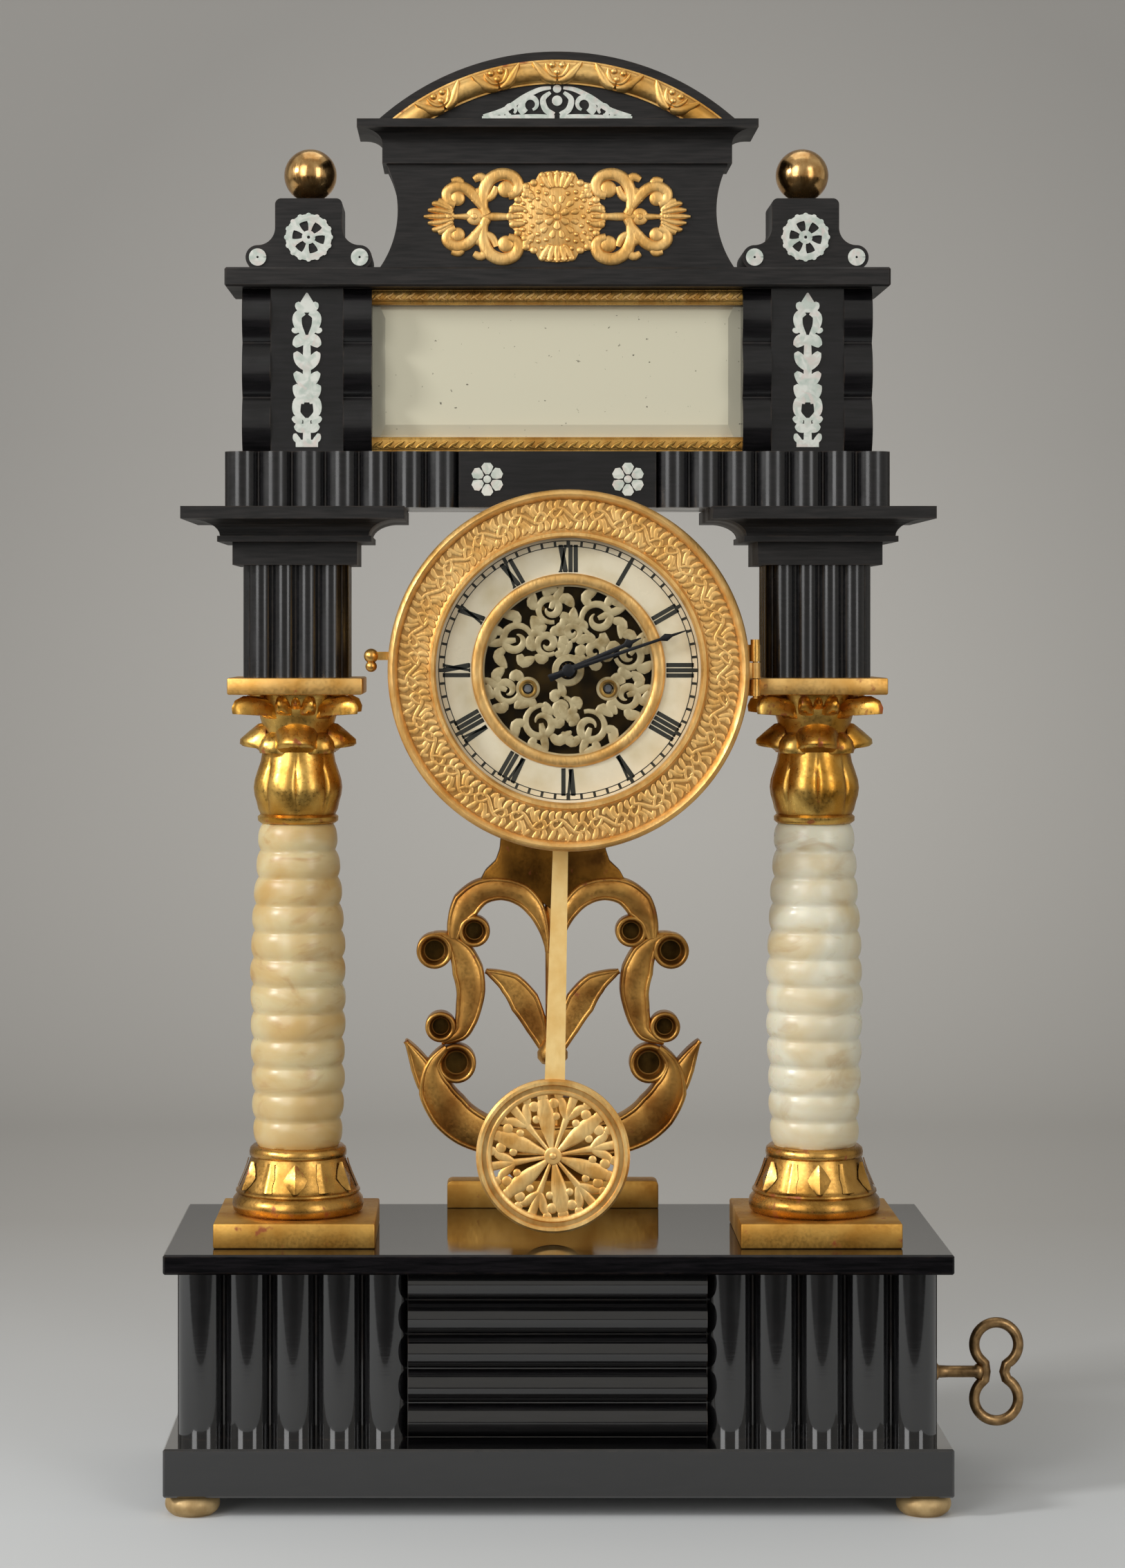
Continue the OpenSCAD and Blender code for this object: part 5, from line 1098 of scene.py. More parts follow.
@dataclass
class Crest:
    """Crest: brass mount, gilt pediment band, gilt balls and every pearl inlay."""

    mount_drawn: Point2 = (49.0, 18.0)
    band: float = 9.3
    border: float = 3.3
    band_foot: float = 2.4
    ball_d: float = 20.6
    pedestal_tall: float = 27.5
    pedestal_span: float = 39.4
    pedestal_lobe: float = 4.7
    pier_inner: float = 71.5
    pier_drawn: float = 63.3
    pier_slim: float = 0.86
    pier_sunk: float = 1.65
    frieze_reach: float = 27.0
    knots: int = 5
    knot_pitch: float = 23.4
    shell: float = 0.6
    shell_crown: float = 0.05

    def build(self) -> None:
        """Make the crest's ornaments and the pearl inlays of the attic."""
        self.mount()
        self.pediment()
        self.balls()
        self.inlays()

    def mount(self) -> None:
        """Stamped mount: a leafy middle, four rolled and four small scrolls and a palmette at each end."""
        low, high = ends_of("crest_mount")
        mid, back = (low + high) / 2, high.y
        grow_x = (high.x - low.x) / 2 / self.mount_drawn[0]
        grow_z = (high.z - low.z) / 2 / self.mount_drawn[1]
        body = Carving()

        def at(x: float, z: float) -> Point2:
            """Place of a point of the drawing on the mount."""
            return mid.x + x * grow_x, mid.z + z * grow_z

        def lay(strokes: Sequence[Stroke], side: int, up: int, end: float, peak: float) -> None:
            """Lay strokes in one quarter, tapered to a share of their width."""
            for stroke, width, lift in strokes:
                path = [at(side * x, up * z) for x, z in stroke]
                body.ribbon(path, taper(len(path), width * 0.6, width, width * end, peak), back, 0.3, lift)

        for side in SIDES:
            lay(self.spray(), side, 1, 0.4, 0.5)
            for up in SIDES:
                lay(self.scrolls(), side, up, 0.7, 0.4)
                for x, z, radius in ((18.8, 10.6, 3.3), (36.6, 7.0, 2.9)):
                    body.button(*at(side * x, up * z), radius, back, 0.3, 0.9)
            for x, radius in ((30.4, 3.3), (40.0, 2.6)):
                body.button(*at(side * x, 0.0), radius, back, 0.3, 0.7)
                body.button(*at(side * x, 0.0), radius * 0.4, back - 0.7, 0.2, 0.4)
        body.plate([at(x, z) for x, z in self.ground()], back - 0.35, back, 0.1)
        for x, z, radius in self.lobes():
            for side in SIDES:
                for up in SIDES:
                    body.button(*at(side * x, up * z), radius, back - 0.2, 0.2, 0.7, 14)
        body.button(mid.x, mid.z, 1.5, back, 0.4, 0.5)
        body.fix("crest_mount_scrolls", Look.STAMPED, CASE, "gilt_brass", "crest_mount", smooth=45.0)
        for label, count, root, length, wide, lift, turn in (
                ("outer", 12, 5.6, 3.0, 1.3, 0.4, 15.0), ("inner", 6, 1.9, 3.2, 1.5, 0.7, 0.0)):
            path = curve_path([(0.0, 0.0), (0.0, length * 0.6), (0.0, length)], 4)
            widths = taper(len(path), wide * 0.5, wide, wide * 0.35, 0.6)
            petal = Carving().ribbon(path, widths, 0.0, 0.2, 0.5)
            place = Matrix.Translation((mid.x, back - lift + 0.3, mid.z))
            RING.make(f"crest_rosette_{label}", petal, Look.STAMPED, CASE, "gilt_brass", place, count,
                      360 / count, turn, root)

    def lobes(self) -> list[Triple]:
        """Small knobs on one quarter of the mount's middle: places and radii in millimetres."""
        fan = [(2.7 * k, 16.6 - 0.3 * k, 1.35) for k in range(3)]
        edge = [(8.6, 13.0, 1.5), (11.4, 11.6, 1.6), (11.8, 8.4, 1.5), (14.4, 6.4, 1.5), (16.2, 3.0, 1.6),
                (17.4, 0.0, 1.7)]
        grain = []
        for radius, start in ((9.8, 0.0), (11.8, 10.0), (13.4, 0.0)):
            for k in range(4):
                grain.append((*around(0.0, 0.0, radius, math.radians(start + 22 * k)), 0.95))
        return [*fan, *edge, *grain]

    def ground(self) -> list[Point2]:
        """Outline of the mount's solid middle, in millimetres about its centre."""
        right = [(3.0, 17.6), (6.6, 16.8), (8.2, 13.6), (12.4, 13.0), (12.8, 8.6), (16.6, 4.4), (17.4, 0.0)]
        half = [*right, *[(x, -z) for x, z in reversed(right[:-1])]]
        return [*half, *mirrored(half)]

    def spray(self) -> list[Stroke]:
        """Leaves of the middle and of one end, with their half widths and heights, in millimetres."""
        crown = [([(1.5 * k, 11.4 * s), (2.2 * k, 14.0 * s), (2.9 * k, (17.6 - 0.5 * k) * s)], 1.5, 0.8)
                 for s in SIDES for k in (0, 1, 2)]
        corners = [([(8.6, 7.0 * s), (11.0, 9.6 * s), (12.4, 12.6 * s)], 1.7, 0.7) for s in SIDES]
        sides = [([(12.0, 2.6 * s), (15.0, 3.0 * s), (17.6, 1.6 * s)], 1.5, 0.7) for s in SIDES]
        end = [([(38.6, 1.2 * k), (43.6, 2.4 * k), (49.0 - 1.5 * abs(k), 2.5 * k)], 1.25, 0.9)
               for k in (-2, -1, 0, 1, 2)]
        rows = (*crown, *corners, *sides, *end)
        leaves = [(curve_path(points), width, lift) for points, width, lift in rows]
        return [*leaves, ([(14.0, 0.0), (22.0, 0.0), (30.0, 0.0), (40.0, 0.0)], 1.7, 0.6)]

    def scrolls(self) -> list[Stroke]:
        """Scrolls of one quarter of the mount, with their half widths and heights, in millimetres."""
        inner = [(26.2, 0.6), (27.2, 4.6), (27.0, 9.6), (24.8, 14.2), (20.6, 16.4), (16.2, 15.4),
                 (14.2, 12.2), (15.2, 9.2), (18.0, 8.2)]
        outer = [(25.4, 1.0), (28.6, 5.6), (32.6, 10.2), (36.8, 11.6), (40.4, 9.4), (40.0, 6.0), (37.4, 4.6)]
        leaf = [(27.4, 10.0), (29.6, 8.8), (30.4, 5.8)]
        end = [(38.8, 1.6), (40.8, 4.6), (43.8, 6.0)]
        crook = [(25.4, 13.0), (28.0, 15.4), (30.6, 14.2)]
        barb = [(34.6, 11.4), (36.0, 14.0), (38.8, 13.6)]
        tongue = [(26.0, 6.4), (23.6, 8.4), (22.4, 11.6)]
        rows = ((inner, 5, 2.5, 0.9), (outer, 5, 2.3, 0.9), (leaf, 4, 1.9, 0.6), (end, 4, 1.8, 0.8),
                (crook, 4, 1.7, 0.6), (barb, 4, 1.5, 0.6), (tongue, 4, 1.5, 0.6))
        return [(curve_path(points, count), width, lift) for points, count, width, lift in rows]

    def pediment(self) -> None:
        """Gilt half-round band along the arch, with carved leaf cups along it."""
        low, high = ends_of("pediment_board")
        rise, front = high.z - low.z, low.y
        radius = (high.x * high.x + rise * rise) / (2 * rise)
        centre_z = high.z - radius
        mid_r = radius - self.border - self.band / 2
        reach = math.degrees(math.acos((low.z - centre_z - self.band_foot) / mid_r))
        path = arc_path(0.0, centre_z, mid_r, 90 + reach, 90 - reach, 60)
        body = Carving().ribbon(path, self.band / 2 - 0.5, front, 0.2, self.band / 2 - 1.6, 10)
        body.ribbon(path, self.band / 2, front, 0.8, 0.2, 4)
        body.fix("pediment_band", Look.GILT_PALE, CASE, "gilt_wood", "pediment_moulding", smooth=50.0)
        place = Matrix.Translation((0.0, front, centre_z))
        step = math.degrees(self.knot_pitch / mid_r)
        RING.make("pediment_knots", self.knot(), Look.GILT_PALE, CASE, "gilt_wood", place, self.knots, step,
                  -step * (self.knots - 1) / 2, mid_r, 60.0)

    def knot(self) -> Carving:
        """Leaf cup on the band with two berries in it, drawn along X with Z away from the arch's middle."""
        cup = Carving()
        for side in SIDES:
            outline = [(side * x, z) for x, z in ((0.5, -3.9), (3.6, -2.6), (6.6, 0.2), (9.4, 3.5))]
            wing = curve_path(outline, 4)
            cup.ribbon(wing, taper(len(wing), 1.0, 2.2, 0.6), -0.6, 1.4, 1.7)
            inset = [(side * x, z) for x, z in ((0.4, -2.2), (2.2, -1.6), (3.8, 0.6), (4.4, 2.8))]
            lip = curve_path(inset, 4)
            cup.ribbon(lip, taper(len(lip), 0.6, 1.0, 0.4), -2.0, 0.8, 1.0)
            cup.button(side * 1.9, 2.3, 1.5, -2.0, 0.5, 1.5, 14)
        return cup.button(0.0, -0.4, 1.3, -2.6, 0.3, 0.9, 14)

    def balls(self) -> None:
        """Polished balls with a small neck."""
        low, high = ends_of("gilt_balls")
        radius = self.ball_d / 2
        turns = [math.pi * k / 24 for k in range(2, 25)]
        turned = [(radius * math.sin(turn), -radius * math.cos(turn)) for turn in turns]
        neck = [(0.0, -radius - 0.3), (3.2, -radius - 0.3), (3.2, -radius + 0.4), (2.6, -radius + 0.5)]
        pair = Carving()
        for x in (low.x + radius, high.x - radius):
            seat = Vector((x, middle("gilt_balls").y, high.z - radius))
            pair.lathe([*neck, *turned], seat, Axis.UPRIGHT, 48)
        pair.fix("gilt_ball_pair", Look.BALL, CASE, "gilt_wood", "gilt_balls", smooth=60.0)

    def inlays(self) -> None:
        """Every pearl inlay, sawn from thin shell."""
        sheet = Carving()
        self.candelabra(sheet)
        self.rosettes(sheet)
        self.fan(sheet)
        sheet.fix("pearl_sawn_inlays", Look.PEARL, CASE, "mother_of_pearl", "pearl_inlays", smooth=30.0)

    def inlay(self, sheet: Carving, path: Path, half: float | Sequence[float], back: float) -> None:
        """Saw one strip of shell along a path."""
        sheet.ribbon(path, half, back, self.shell, self.shell_crown, 2)

    def candelabra(self, sheet: Carving) -> None:
        """Upright foliate panels on the piers: leaves up a stem, with two pointed openings."""
        low, high = ends_of("attic_piers")
        grow, slim = (high.z - low.z) / self.pier_drawn, self.pier_slim
        back = low.y + self.pier_sunk
        mid_z = (low.z + high.z) / 2
        stem = [([(0.0, 29.6), (0.0, 27.0), (0.0, 24.6), (0.0, 22.0)], [0.3, 1.9, 3.4, 2.4]),
                ([(0.0, 13.4), (0.0, 4.0), (0.0, -6.0), (0.0, -12.6)], [1.2, 1.6, 1.5, 1.6]),
                ([(0.0, -18.6), (0.0, -28.0)], [1.3, 1.6]), ([(-5.0, -28.4), (5.0, -28.4)], [1.4, 1.4])]
        leaves = [([(1.6, 22.8), (3.4, 24.4), (4.3, 26.0)], 1.4),
                  ([(1.4, 22.4), (4.2, 20.6), (3.9, 17.0), (1.2, 13.0)], 1.55),
                  ([(3.4, 16.4), (5.0, 15.2), (6.7, 15.6)], 1.1),
                  ([(0.6, 12.4), (3.4, 11.2), (5.6, 9.0)], 2.0),
                  ([(0.4, 1.0), (3.0, 3.6), (5.2, 6.8)], 1.9), ([(0.4, -6.2), (2.8, -3.6), (5.4, -1.0)], 1.8),
                  ([(0.4, -11.0), (3.2, -9.0), (5.4, -5.8)], 2.0),
                  ([(1.0, -12.0), (3.8, -11.8), (4.7, -14.4), (4.1, -17.0), (1.0, -19.2)], 1.45),
                  ([(2.2, -19.2), (4.4, -19.4), (6.5, -18.4)], 1.3),
                  ([(0.6, -22.6), (3.2, -22.4), (5.4, -21.4)], 1.6),
                  ([(3.4, -27.6), (4.8, -26.4), (5.4, -24.6)], 1.1)]
        reach = (self.pier_inner + high.x) / 2
        for x in (-reach, reach):
            for path, widths in stem:
                self.inlay(sheet, [(x + px * slim, mid_z + pz * grow) for px, pz in path], widths, back)
            for path, width in leaves:
                for side in SIDES:
                    points = [(x + side * px * slim, mid_z + pz * grow) for px, pz in curve_path(path, 5)]
                    widths = taper(len(points), width * 0.85, width * 1.15, width * 0.4, 0.45)
                    self.inlay(sheet, points, widths, back)

    def rosettes(self, sheet: Carving) -> None:
        """Round rosettes on the ball pedestals and the frieze, and dots on the pedestals' lobes."""
        low, high = ends_of("ball_pedestals")
        z = low.z + self.pedestal_tall * 0.45
        for side in SIDES:
            x = side * (high.x - self.pedestal_lobe - self.pedestal_span / 2)
            self.inlay(sheet, arc_path(x, z, 7.6, count=48), 1.3, low.y)
            self.inlay(sheet, arc_path(x, z, 1.6, count=32), 1.0, low.y)
            self.petals(sheet, (x, z), 20, ((2.2, 0.5), (3.8, 0.7), (5.2, 1.1), (6.8, 2.0)), low.y)
            for k in range(16):
                seat = around(x, z, 8.4, math.radians(22.5 * k))
                sheet.button(*seat, 1.05, low.y, self.shell, self.shell_crown, 14)
            for edge in SIDES:
                lobe = arc_path(x + edge * self.pedestal_span / 2, low.z + self.pedestal_lobe, 1.9, count=32)
                self.inlay(sheet, lobe, 1.45, low.y)
        low, high = ends_of("frieze")
        z, plain = (low.z + high.z) / 2, low.y + 1.0
        for x in (-self.frieze_reach, self.frieze_reach):
            sheet.button(x, z, 1.5, plain, self.shell, 0.1, 16)
            self.petals(sheet, (x, z), 30, ((1.9, 0.7), (3.2, 1.7), (4.9, 2.3), (6.3, 1.2)), plain)

    def petals(self, sheet: Carving, centre: Point2, turn: float, stations: Path, back: float) -> None:
        """Saw six petals about a point, each through stations of reach and half width."""
        for k in range(6):
            angle = math.radians(60 * k + turn)
            path = [around(*centre, reach, angle) for reach, _ in stations]
            self.inlay(sheet, path, [half for _, half in stations], back)

    def fan(self, sheet: Carving) -> None:
        """Scrolled fan in the pediment."""
        low = ends_of("pediment_board")[0]
        strokes = [(curve_path([(1.0, 2.0), (8.0, 2.2), (18.0, 2.0), (29.0, 1.9)]), 1.0),
                   (curve_path([(28.4, 2.2), (20.0, 5.0), (13.0, 9.6), (7.0, 12.6), (2.4, 13.4)]), 1.1),
                   (arc_path(10.2, 7.0, 3.3, -60, 250, 16, 2.2), 1.0),
                   (arc_path(17.6, 4.8, 2.3, -80, 230, 14, 1.5), 0.9),
                   (curve_path([(1.2, 3.0), (4.4, 5.0), (5.4, 9.0), (2.6, 11.6)]), 1.2),
                   (curve_path([(13.0, 3.2), (14.4, 5.6), (13.2, 8.0)]), 1.0),
                   (curve_path([(20.4, 3.0), (22.4, 3.9), (24.6, 3.0)]), 0.9)]
        for side in SIDES:
            for path, width in strokes:
                points = [(side * px, low.z + pz) for px, pz in path]
                self.inlay(sheet, points, taper(len(points), width * 0.8, width, width * 0.5, 0.4), low.y)
        sheet.button(0.0, low.z + 8.4, 2.0, low.y, self.shell, 0.1, 20)
        sheet.button(0.0, low.z + 13.0, 1.6, low.y, self.shell, 0.1, 16)


@dataclass
class Lyre:
    """Carved gilt lyre behind the pendulum: scrolled arms, volutes, tulip leaves and a foot board."""

    crown: float = 2.4
    bead: float = 1.1
    step_back: float = 0.08
    volute_layer: int = 12
    stem_layer: int = 13
    bowl_layer: int = 14
    neck_layer: int = 15
    foot_w: float = 86.5
    foot_tall: float = 11.2
    seat_r: float = 60.2
    seat_z: float = 321.5
    seat_x: float = 4.0
    neck_half: float = 21.0
    volutes: tuple[Triple, ...] = (
        (32.2, 213.4, 6.5), (48.5, 205.4, 7.4), (46.0, 174.2, 6.3), (39.5, 159.2, 8.1))

    def build(self) -> None:
        """Carve the lyre, with its foot board, its shaded volute eyes and its neck apart."""
        low, high = ends_of("lyre_stand")
        self.foot(low, high.y)
        self.carve(low.y, high.y)
        self.neck(low.y, high.y)

    def layer(self, back: float, number: int) -> float:
        """Back of a layer, a hair in front of the one before so that no two surfaces share a plane."""
        return back - number * self.step_back

    def foot(self, low: Vector, back: float) -> None:
        """Foot board with rounded upper corners."""
        half, top = self.foot_w / 2, self.foot_tall
        board = [(-half, 0.0), (half, 0.0), (half, top - 1.6), (half - 0.6, top - 0.5), (half - 1.8, top)]
        board += mirrored(board[2:])
        plate = Carving().plate([(x, low.z + z) for x, z in board], low.y, back, 0.5)
        plate.fix("lyre_foot", Look.GILT_FLAT, CASE, "gilt_wood")

    def carve(self, front: float, back: float) -> None:
        """Arms with raised edges, volutes with sunk eyes, and the stem with its turned boss."""
        edge = back - front - self.crown
        wood, eyes = Carving(), Carving()
        for side in SIDES:
            for k, (path, widths, depth) in enumerate(self.arms()):
                behind = self.layer(back, 1 + 2 * k + (side > 0))
                limb = [(side * x, z) for x, z in path]
                wood.ribbon(limb, widths, behind, edge * depth, self.crown * depth, 10)
                for rim in SIDES:
                    bead = self.beside(path, widths, rim, side)
                    wood.ribbon(bead, self.bead, behind - edge * depth, 0.3, 1.9 * depth)
            for x, z, radius in self.volutes:
                self.volute(wood, eyes, (side * x, z), radius, front, self.layer(back, self.volute_layer))
        wood.ribbon([(0.0, 128.0), (0.0, 186.0), (0.0, 236.0)], [3.0, 2.8, 3.1],
                    self.layer(back, self.stem_layer), edge * 0.7, self.crown * 0.6, 8)
        boss = [(0.0, 158.6), (4.4, 158.8), (6.2, 161.0), (6.3, 163.6), (5.0, 166.0), (4.0, 168.2),
                (0.0, 168.4)]
        wood.lathe(boss, Vector((0.0, back - 6.6, 0.0)), Axis.UPRIGHT, 24)
        wood.fix("lyre_carving", Look.GILT_OLD, CASE, "gilt_wood", "lyre_stand", smooth=50.0)
        eyes.fix("lyre_volute_eyes", Look.SHADED_BRASS, CASE, "gilt_wood")

    def beside(self, path: Path, widths: Sequence[float], rim: int, side: int) -> list[Point2]:
        """Path of the raised edge on one side of an arm."""
        out = []
        for i, (x, z) in enumerate(path):
            along = heading(path, i)
            reach = rim * max(widths[i] - self.bead, 0.05)
            out.append((side * (x - along.y * reach), z + along.x * reach))
        return out

    def arms(self) -> list[tuple[list[Point2], list[float], float]]:
        """Path, half widths and depth share of each arm on the right side."""
        upper = [(2.0, 205.0, 0.6), (3.4, 213.6, 2.2), (7.0, 222.4, 3.9), (13.2, 228.6, 4.7),
                 (21.2, 230.8, 4.7), (29.4, 229.4, 5.3), (35.6, 224.0, 6.0), (39.4, 217.2, 3.9),
                 (40.6, 210.6, 2.4)]
        waist = [(49.0, 211.9, 0.9), (42.6, 210.4, 2.2), (37.6, 204.4, 5.0), (34.9, 197.2, 6.4),
                 (33.6, 189.4, 6.0), (34.4, 182.4, 5.4), (35.6, 176.8, 4.6), (38.0, 171.4, 3.2),
                 (45.6, 167.8, 0.9)]
        lower = [(43.6, 165.8, 1.4), (49.0, 158.4, 3.1), (48.2, 148.6, 7.0), (42.6, 139.6, 8.3),
                 (35.0, 133.0, 8.0), (24.0, 128.8, 7.2), (9.0, 127.6, 6.7), (-1.5, 127.4, 6.4)]
        horn = [(47.0, 144.5, 4.2), (51.2, 151.2, 4.8), (54.2, 157.8, 4.2), (57.4, 163.8, 2.4),
                (60.3, 168.4, 0.4)]
        tulip = [(2.6, 163.6, 1.8), (6.4, 173.6, 4.6), (11.4, 183.6, 6.2), (17.6, 191.4, 4.8),
                 (27.4, 196.8, 0.5)]
        rows = ((upper, 1.0), (waist, 0.95), (lower, 1.0), (horn, 0.9), (tulip, 0.5))
        return [(*self.limb(stations), share) for stations, share in rows]

    def limb(self, stations: Sequence[Triple]) -> tuple[list[Point2], list[float]]:
        """Smooth path and half widths through stations, each a place and a half width."""
        steps = 6
        path = curve_path([(x, z) for x, z, _ in stations], steps)
        widths = []
        for i in range(len(path)):
            near, part = divmod(i, steps)
            half, after = stations[near][2], stations[min(near + 1, len(stations) - 1)][2]
            widths.append(half + (after - half) * part / steps)
        return path, widths

    def volute(self, wood: Carving, eyes: Carving, seat: Point2, radius: float, front: float,
               back: float) -> None:
        """Add a rolled volute with a sunk dark eye."""
        x, z = seat
        inner = radius * 0.72
        turns = [math.pi * k / 8 for k in range(1, 8)]
        roll = [(radius - 1.0 + math.cos(turn), front + 1.0 - math.sin(turn)) for turn in turns]
        profile = [(0.0, back), (radius - 0.6, back), (radius, back - 1.0), (radius, front + 1.6), *roll,
                   (inner, front + 1.4), (inner - 0.3, front + 3.6), (inner - 0.9, front + 5.0),
                   (0.0, front + 5.4)]
        wood.lathe(profile, Vector((x, 0, z)), Axis.FACING, 32)
        # Painted shade: the eye is dark brass standing in for the shade in the hollow of the roll.
        eyes.button(x, z, inner - 0.7, front + 5.5, 0.2, 0.5)

    def neck(self, front: float, back: float) -> None:
        """Shaded ground of the bowl, and the bracket that carries the drum on a hollow seat."""
        bowl = curve_path([(14.0, 110.0), (20.0, 115.5), (30.0, 122.5), (31.0, 130.0), (24.0, 138.5),
                           (12.0, 144.0), (0.5, 145.6)], 5)
        behind = self.layer(back, self.bowl_layer)
        shaded = Carving().plate([*bowl, *mirrored(bowl)], front + 3.0, behind, 0.8)
        right = [(31.0, 232.0), (27.6, 238.4), (23.4, 242.4), (21.8, 247.0), (self.neck_half, 256.0)]
        seat = []
        for k in range(13):
            x = self.neck_half - 2 * self.neck_half * k / 12
            seat.append((x, self.seat_z - math.sqrt(self.seat_r ** 2 - (x - self.seat_x) ** 2)))
        outline = [*right, *seat, *mirrored(right), (-14.0, 232.0), (0.0, 222.0), (14.0, 232.0)]
        shaded.plate(outline, front + 1.0, self.layer(back, self.neck_layer), 0.7)
        shaded.fix("lyre_neck", Look.GILT_DARK, CASE, "gilt_wood")


@dataclass
class ClockHead:
    """Clock head: bezel, dial, pierced plate, hands and the finish of the drum and the movement."""

    sight_r: float = 50.7
    bezel_r: float = 69.0
    dial_out: float = 56.9
    rim_out: float = 37.2
    rim_in: float = 32.8
    minute_len: float = 48.5
    minute_angle: float = 71.3
    hour_len: float = 31.0
    hour_angle: float = 66.0
    hand_t: float = 0.7
    hinge_y: float = -48.0
    knuckle_r: float = 2.0
    pin_r: float = 1.06
    knuckle_half: float = 3.0
    vine_repeats: int = 24
    vine_spread: float = 1.36
    vine_relief: float = 0.34
    print_t: float = 0.06
    winder_x: float = 15.4
    winder_drop: float = 7.1
    numerals: tuple[str, ...] = ("I", "II", "III", "IIII", "V", "VI", "VII", "VIII", "IX", "X", "XI", "XII")

    def __post_init__(self) -> None:
        """Find the dial's middle."""
        self.centre = middle("bezel_glass")
        self.centre.y = 0.0

    def build(self) -> None:
        """Make the bezel, the dial, its plate and the hands, and dress the rest."""
        dress(Look.GILT_BRASS, "drum", "drum_cover", "bezel_hinge", "bezel_catch")
        dress(Look.GLASS, "bezel_glass")
        # Painted shade: the movement behind the pierced plate gets the shade-darkened brass.
        dress(Look.SHADED_BRASS, "movement_frame", "motion_wheel")
        dress(Look.OLD_BRASS, "going_barrel", "strike_barrel", "centre_wheel", "third_wheel", "escape_wheel")
        dress(Look.STEEL, "going_arbor", "strike_arbor", "anchor", "strike_hammer", "gong")
        self.bezel()
        self.dial()
        self.plate()
        self.hand("minute", self.minute_len, self.minute_angle, 0.8)
        self.hand("hour", self.hour_len, self.hour_angle, 1.1)

    def hand(self, body: str, length: float, bearing: float, half: float) -> None:
        """Cut a slim steel hand with a small lozenge near its tip, a short tail and a round hub."""
        node = f"{body}_hand"
        front = ends_of(node)[0].y
        back = front + self.hand_t
        stations = ((-8.0, half * 1.2), (0.0, half * 1.1), (length * 0.76, half * 0.7),
                    (length * 0.81, half * 1.9), (length * 0.86, half * 0.7), (length - 0.6, 0.2))
        path = [self.turned(0.0, along, math.radians(bearing)) for along, _ in stations]
        widths = [width for _, width in stations]
        blade = Carving().ribbon(path, widths, back, self.hand_t * 0.6, self.hand_t * 0.4, 4)
        hub = [(0.0, back), (2.5, back), (2.5, front + 0.2), (2.0, front), (0.0, front)]
        blade.lathe(hub, self.centre, Axis.FACING, 32)
        blade.fix(f"{body}_hand_blade", Look.BLUED, body, "blued_steel", node, smooth=30.0)

    def bezel(self) -> None:
        """Turn the bezel with a rolled rim, a sunk band and a hinge knuckle, and emboss a vine in it."""
        low, high = ends_of("bezel")
        front, back = low.y, high.y
        inner, outer = self.sight_r, self.bezel_r
        profile = [(inner, back), (inner, front + 3.0), (inner + 0.7, front + 2.0),
                   (inner + 1.9, front + 2.0), (inner + 2.6, front + 3.1), (inner + 3.4, front + 3.5),
                   (outer - 3.9, front + 3.2),
                   (outer - 3.4, front + 1.9), (outer - 2.8, front + 0.7), (outer - 1.8, front + 0.1),
                   (outer - 0.7, front + 0.8), (outer, front + 2.4), (outer, back - 0.8), (outer - 0.8, back)]
        turned = Carving().lathe(profile, self.centre, Axis.FACING, 128, True)
        pin = Vector((high.x - self.knuckle_r, self.hinge_y, self.centre.z))
        tall, wide, bore = self.knuckle_half, self.knuckle_r, self.pin_r
        turned.lathe([(wide, -tall), (wide, tall), (bore, tall), (bore, -tall)], pin, Axis.UPRIGHT, 24, True)
        reach = high.x - (self.centre.x + outer) + 0.4
        turned.block(pin - Vector((reach, 2.0, tall)), pin + Vector((-1.3, 1.0, tall)), 0.2)
        turned.fix("bezel_turning", Look.STAMPED, "bezel", "gilt_brass", "bezel", smooth=50.0)
        step = 360 / self.vine_repeats
        vine = self.vine((inner + 3.0 + outer - 3.6) / 2, step)
        place = Matrix.Translation((self.centre.x, front + 3.2, self.centre.z))
        RING.make("bezel_vine", vine, Look.STAMPED, "bezel", "gilt_brass", place, self.vine_repeats, step)

    def vine(self, radius: float, step: float) -> Carving:
        """One repeat of the vine, drawn round the ring: a waving stem, two scrolls and their leaves.

        Args:
            radius: Radius of the band's middle.
            step: Degrees from one repeat to the next.

        Returns:
            The repeat, as strokes through shares of the step and heights over the band's middle.
        """
        stem = [(-0.5 + k / 12, 2.6 * math.sin(2 * math.pi * k / 12)) for k in range(13)]
        spray = (
            ([(0.12, -1.6), (0.02, 0.2), (-0.1, 1.0), (-0.18, -0.2), (-0.12, -1.4), (-0.02, -1.2)],
             0.8, 0.55),
            ([(0.02, 0.6), (0.1, 2.2), (0.02, 3.8)], 1.15, 0.6),
            ([(-0.08, 1.0), (-0.12, 2.8), (-0.2, 4.1)], 1.05, 0.6),
            ([(0.1, 0.2), (0.2, 2.4), (0.24, 4.2)], 1.0, 0.55),
            ([(-0.16, -1.4), (-0.2, -2.8), (-0.14, -4.1)], 1.05, 0.55),
            ([(-0.02, -1.8), (-0.02, -3.0), (0.06, -4.2)], 1.1, 0.6),
            ([(0.16, -2.2), (0.22, -3.2), (0.32, -3.9)], 0.95, 0.5),
        )
        strokes: list[Stroke] = [(stem, 0.75, 0.5)]
        for hand in SIDES:
            for points, width, lift in spray:
                leaf = [(hand * (share - 0.25), -hand * rise * self.vine_spread) for share, rise in points]
                strokes.append((curve_path(leaf, 4), width, lift))
        motif = Carving()
        for path, width, lift in strokes:
            bent = []
            for share, rise in path:
                angle = math.radians(step * share)
                bent.append(((radius + rise) * math.sin(angle), (radius + rise) * math.cos(angle)))
            widths = taper(len(bent), width * 0.6, width, width * 0.35, 0.55)
            motif.ribbon(bent, widths, 0.0, 0.1, lift * self.vine_relief)
        return motif

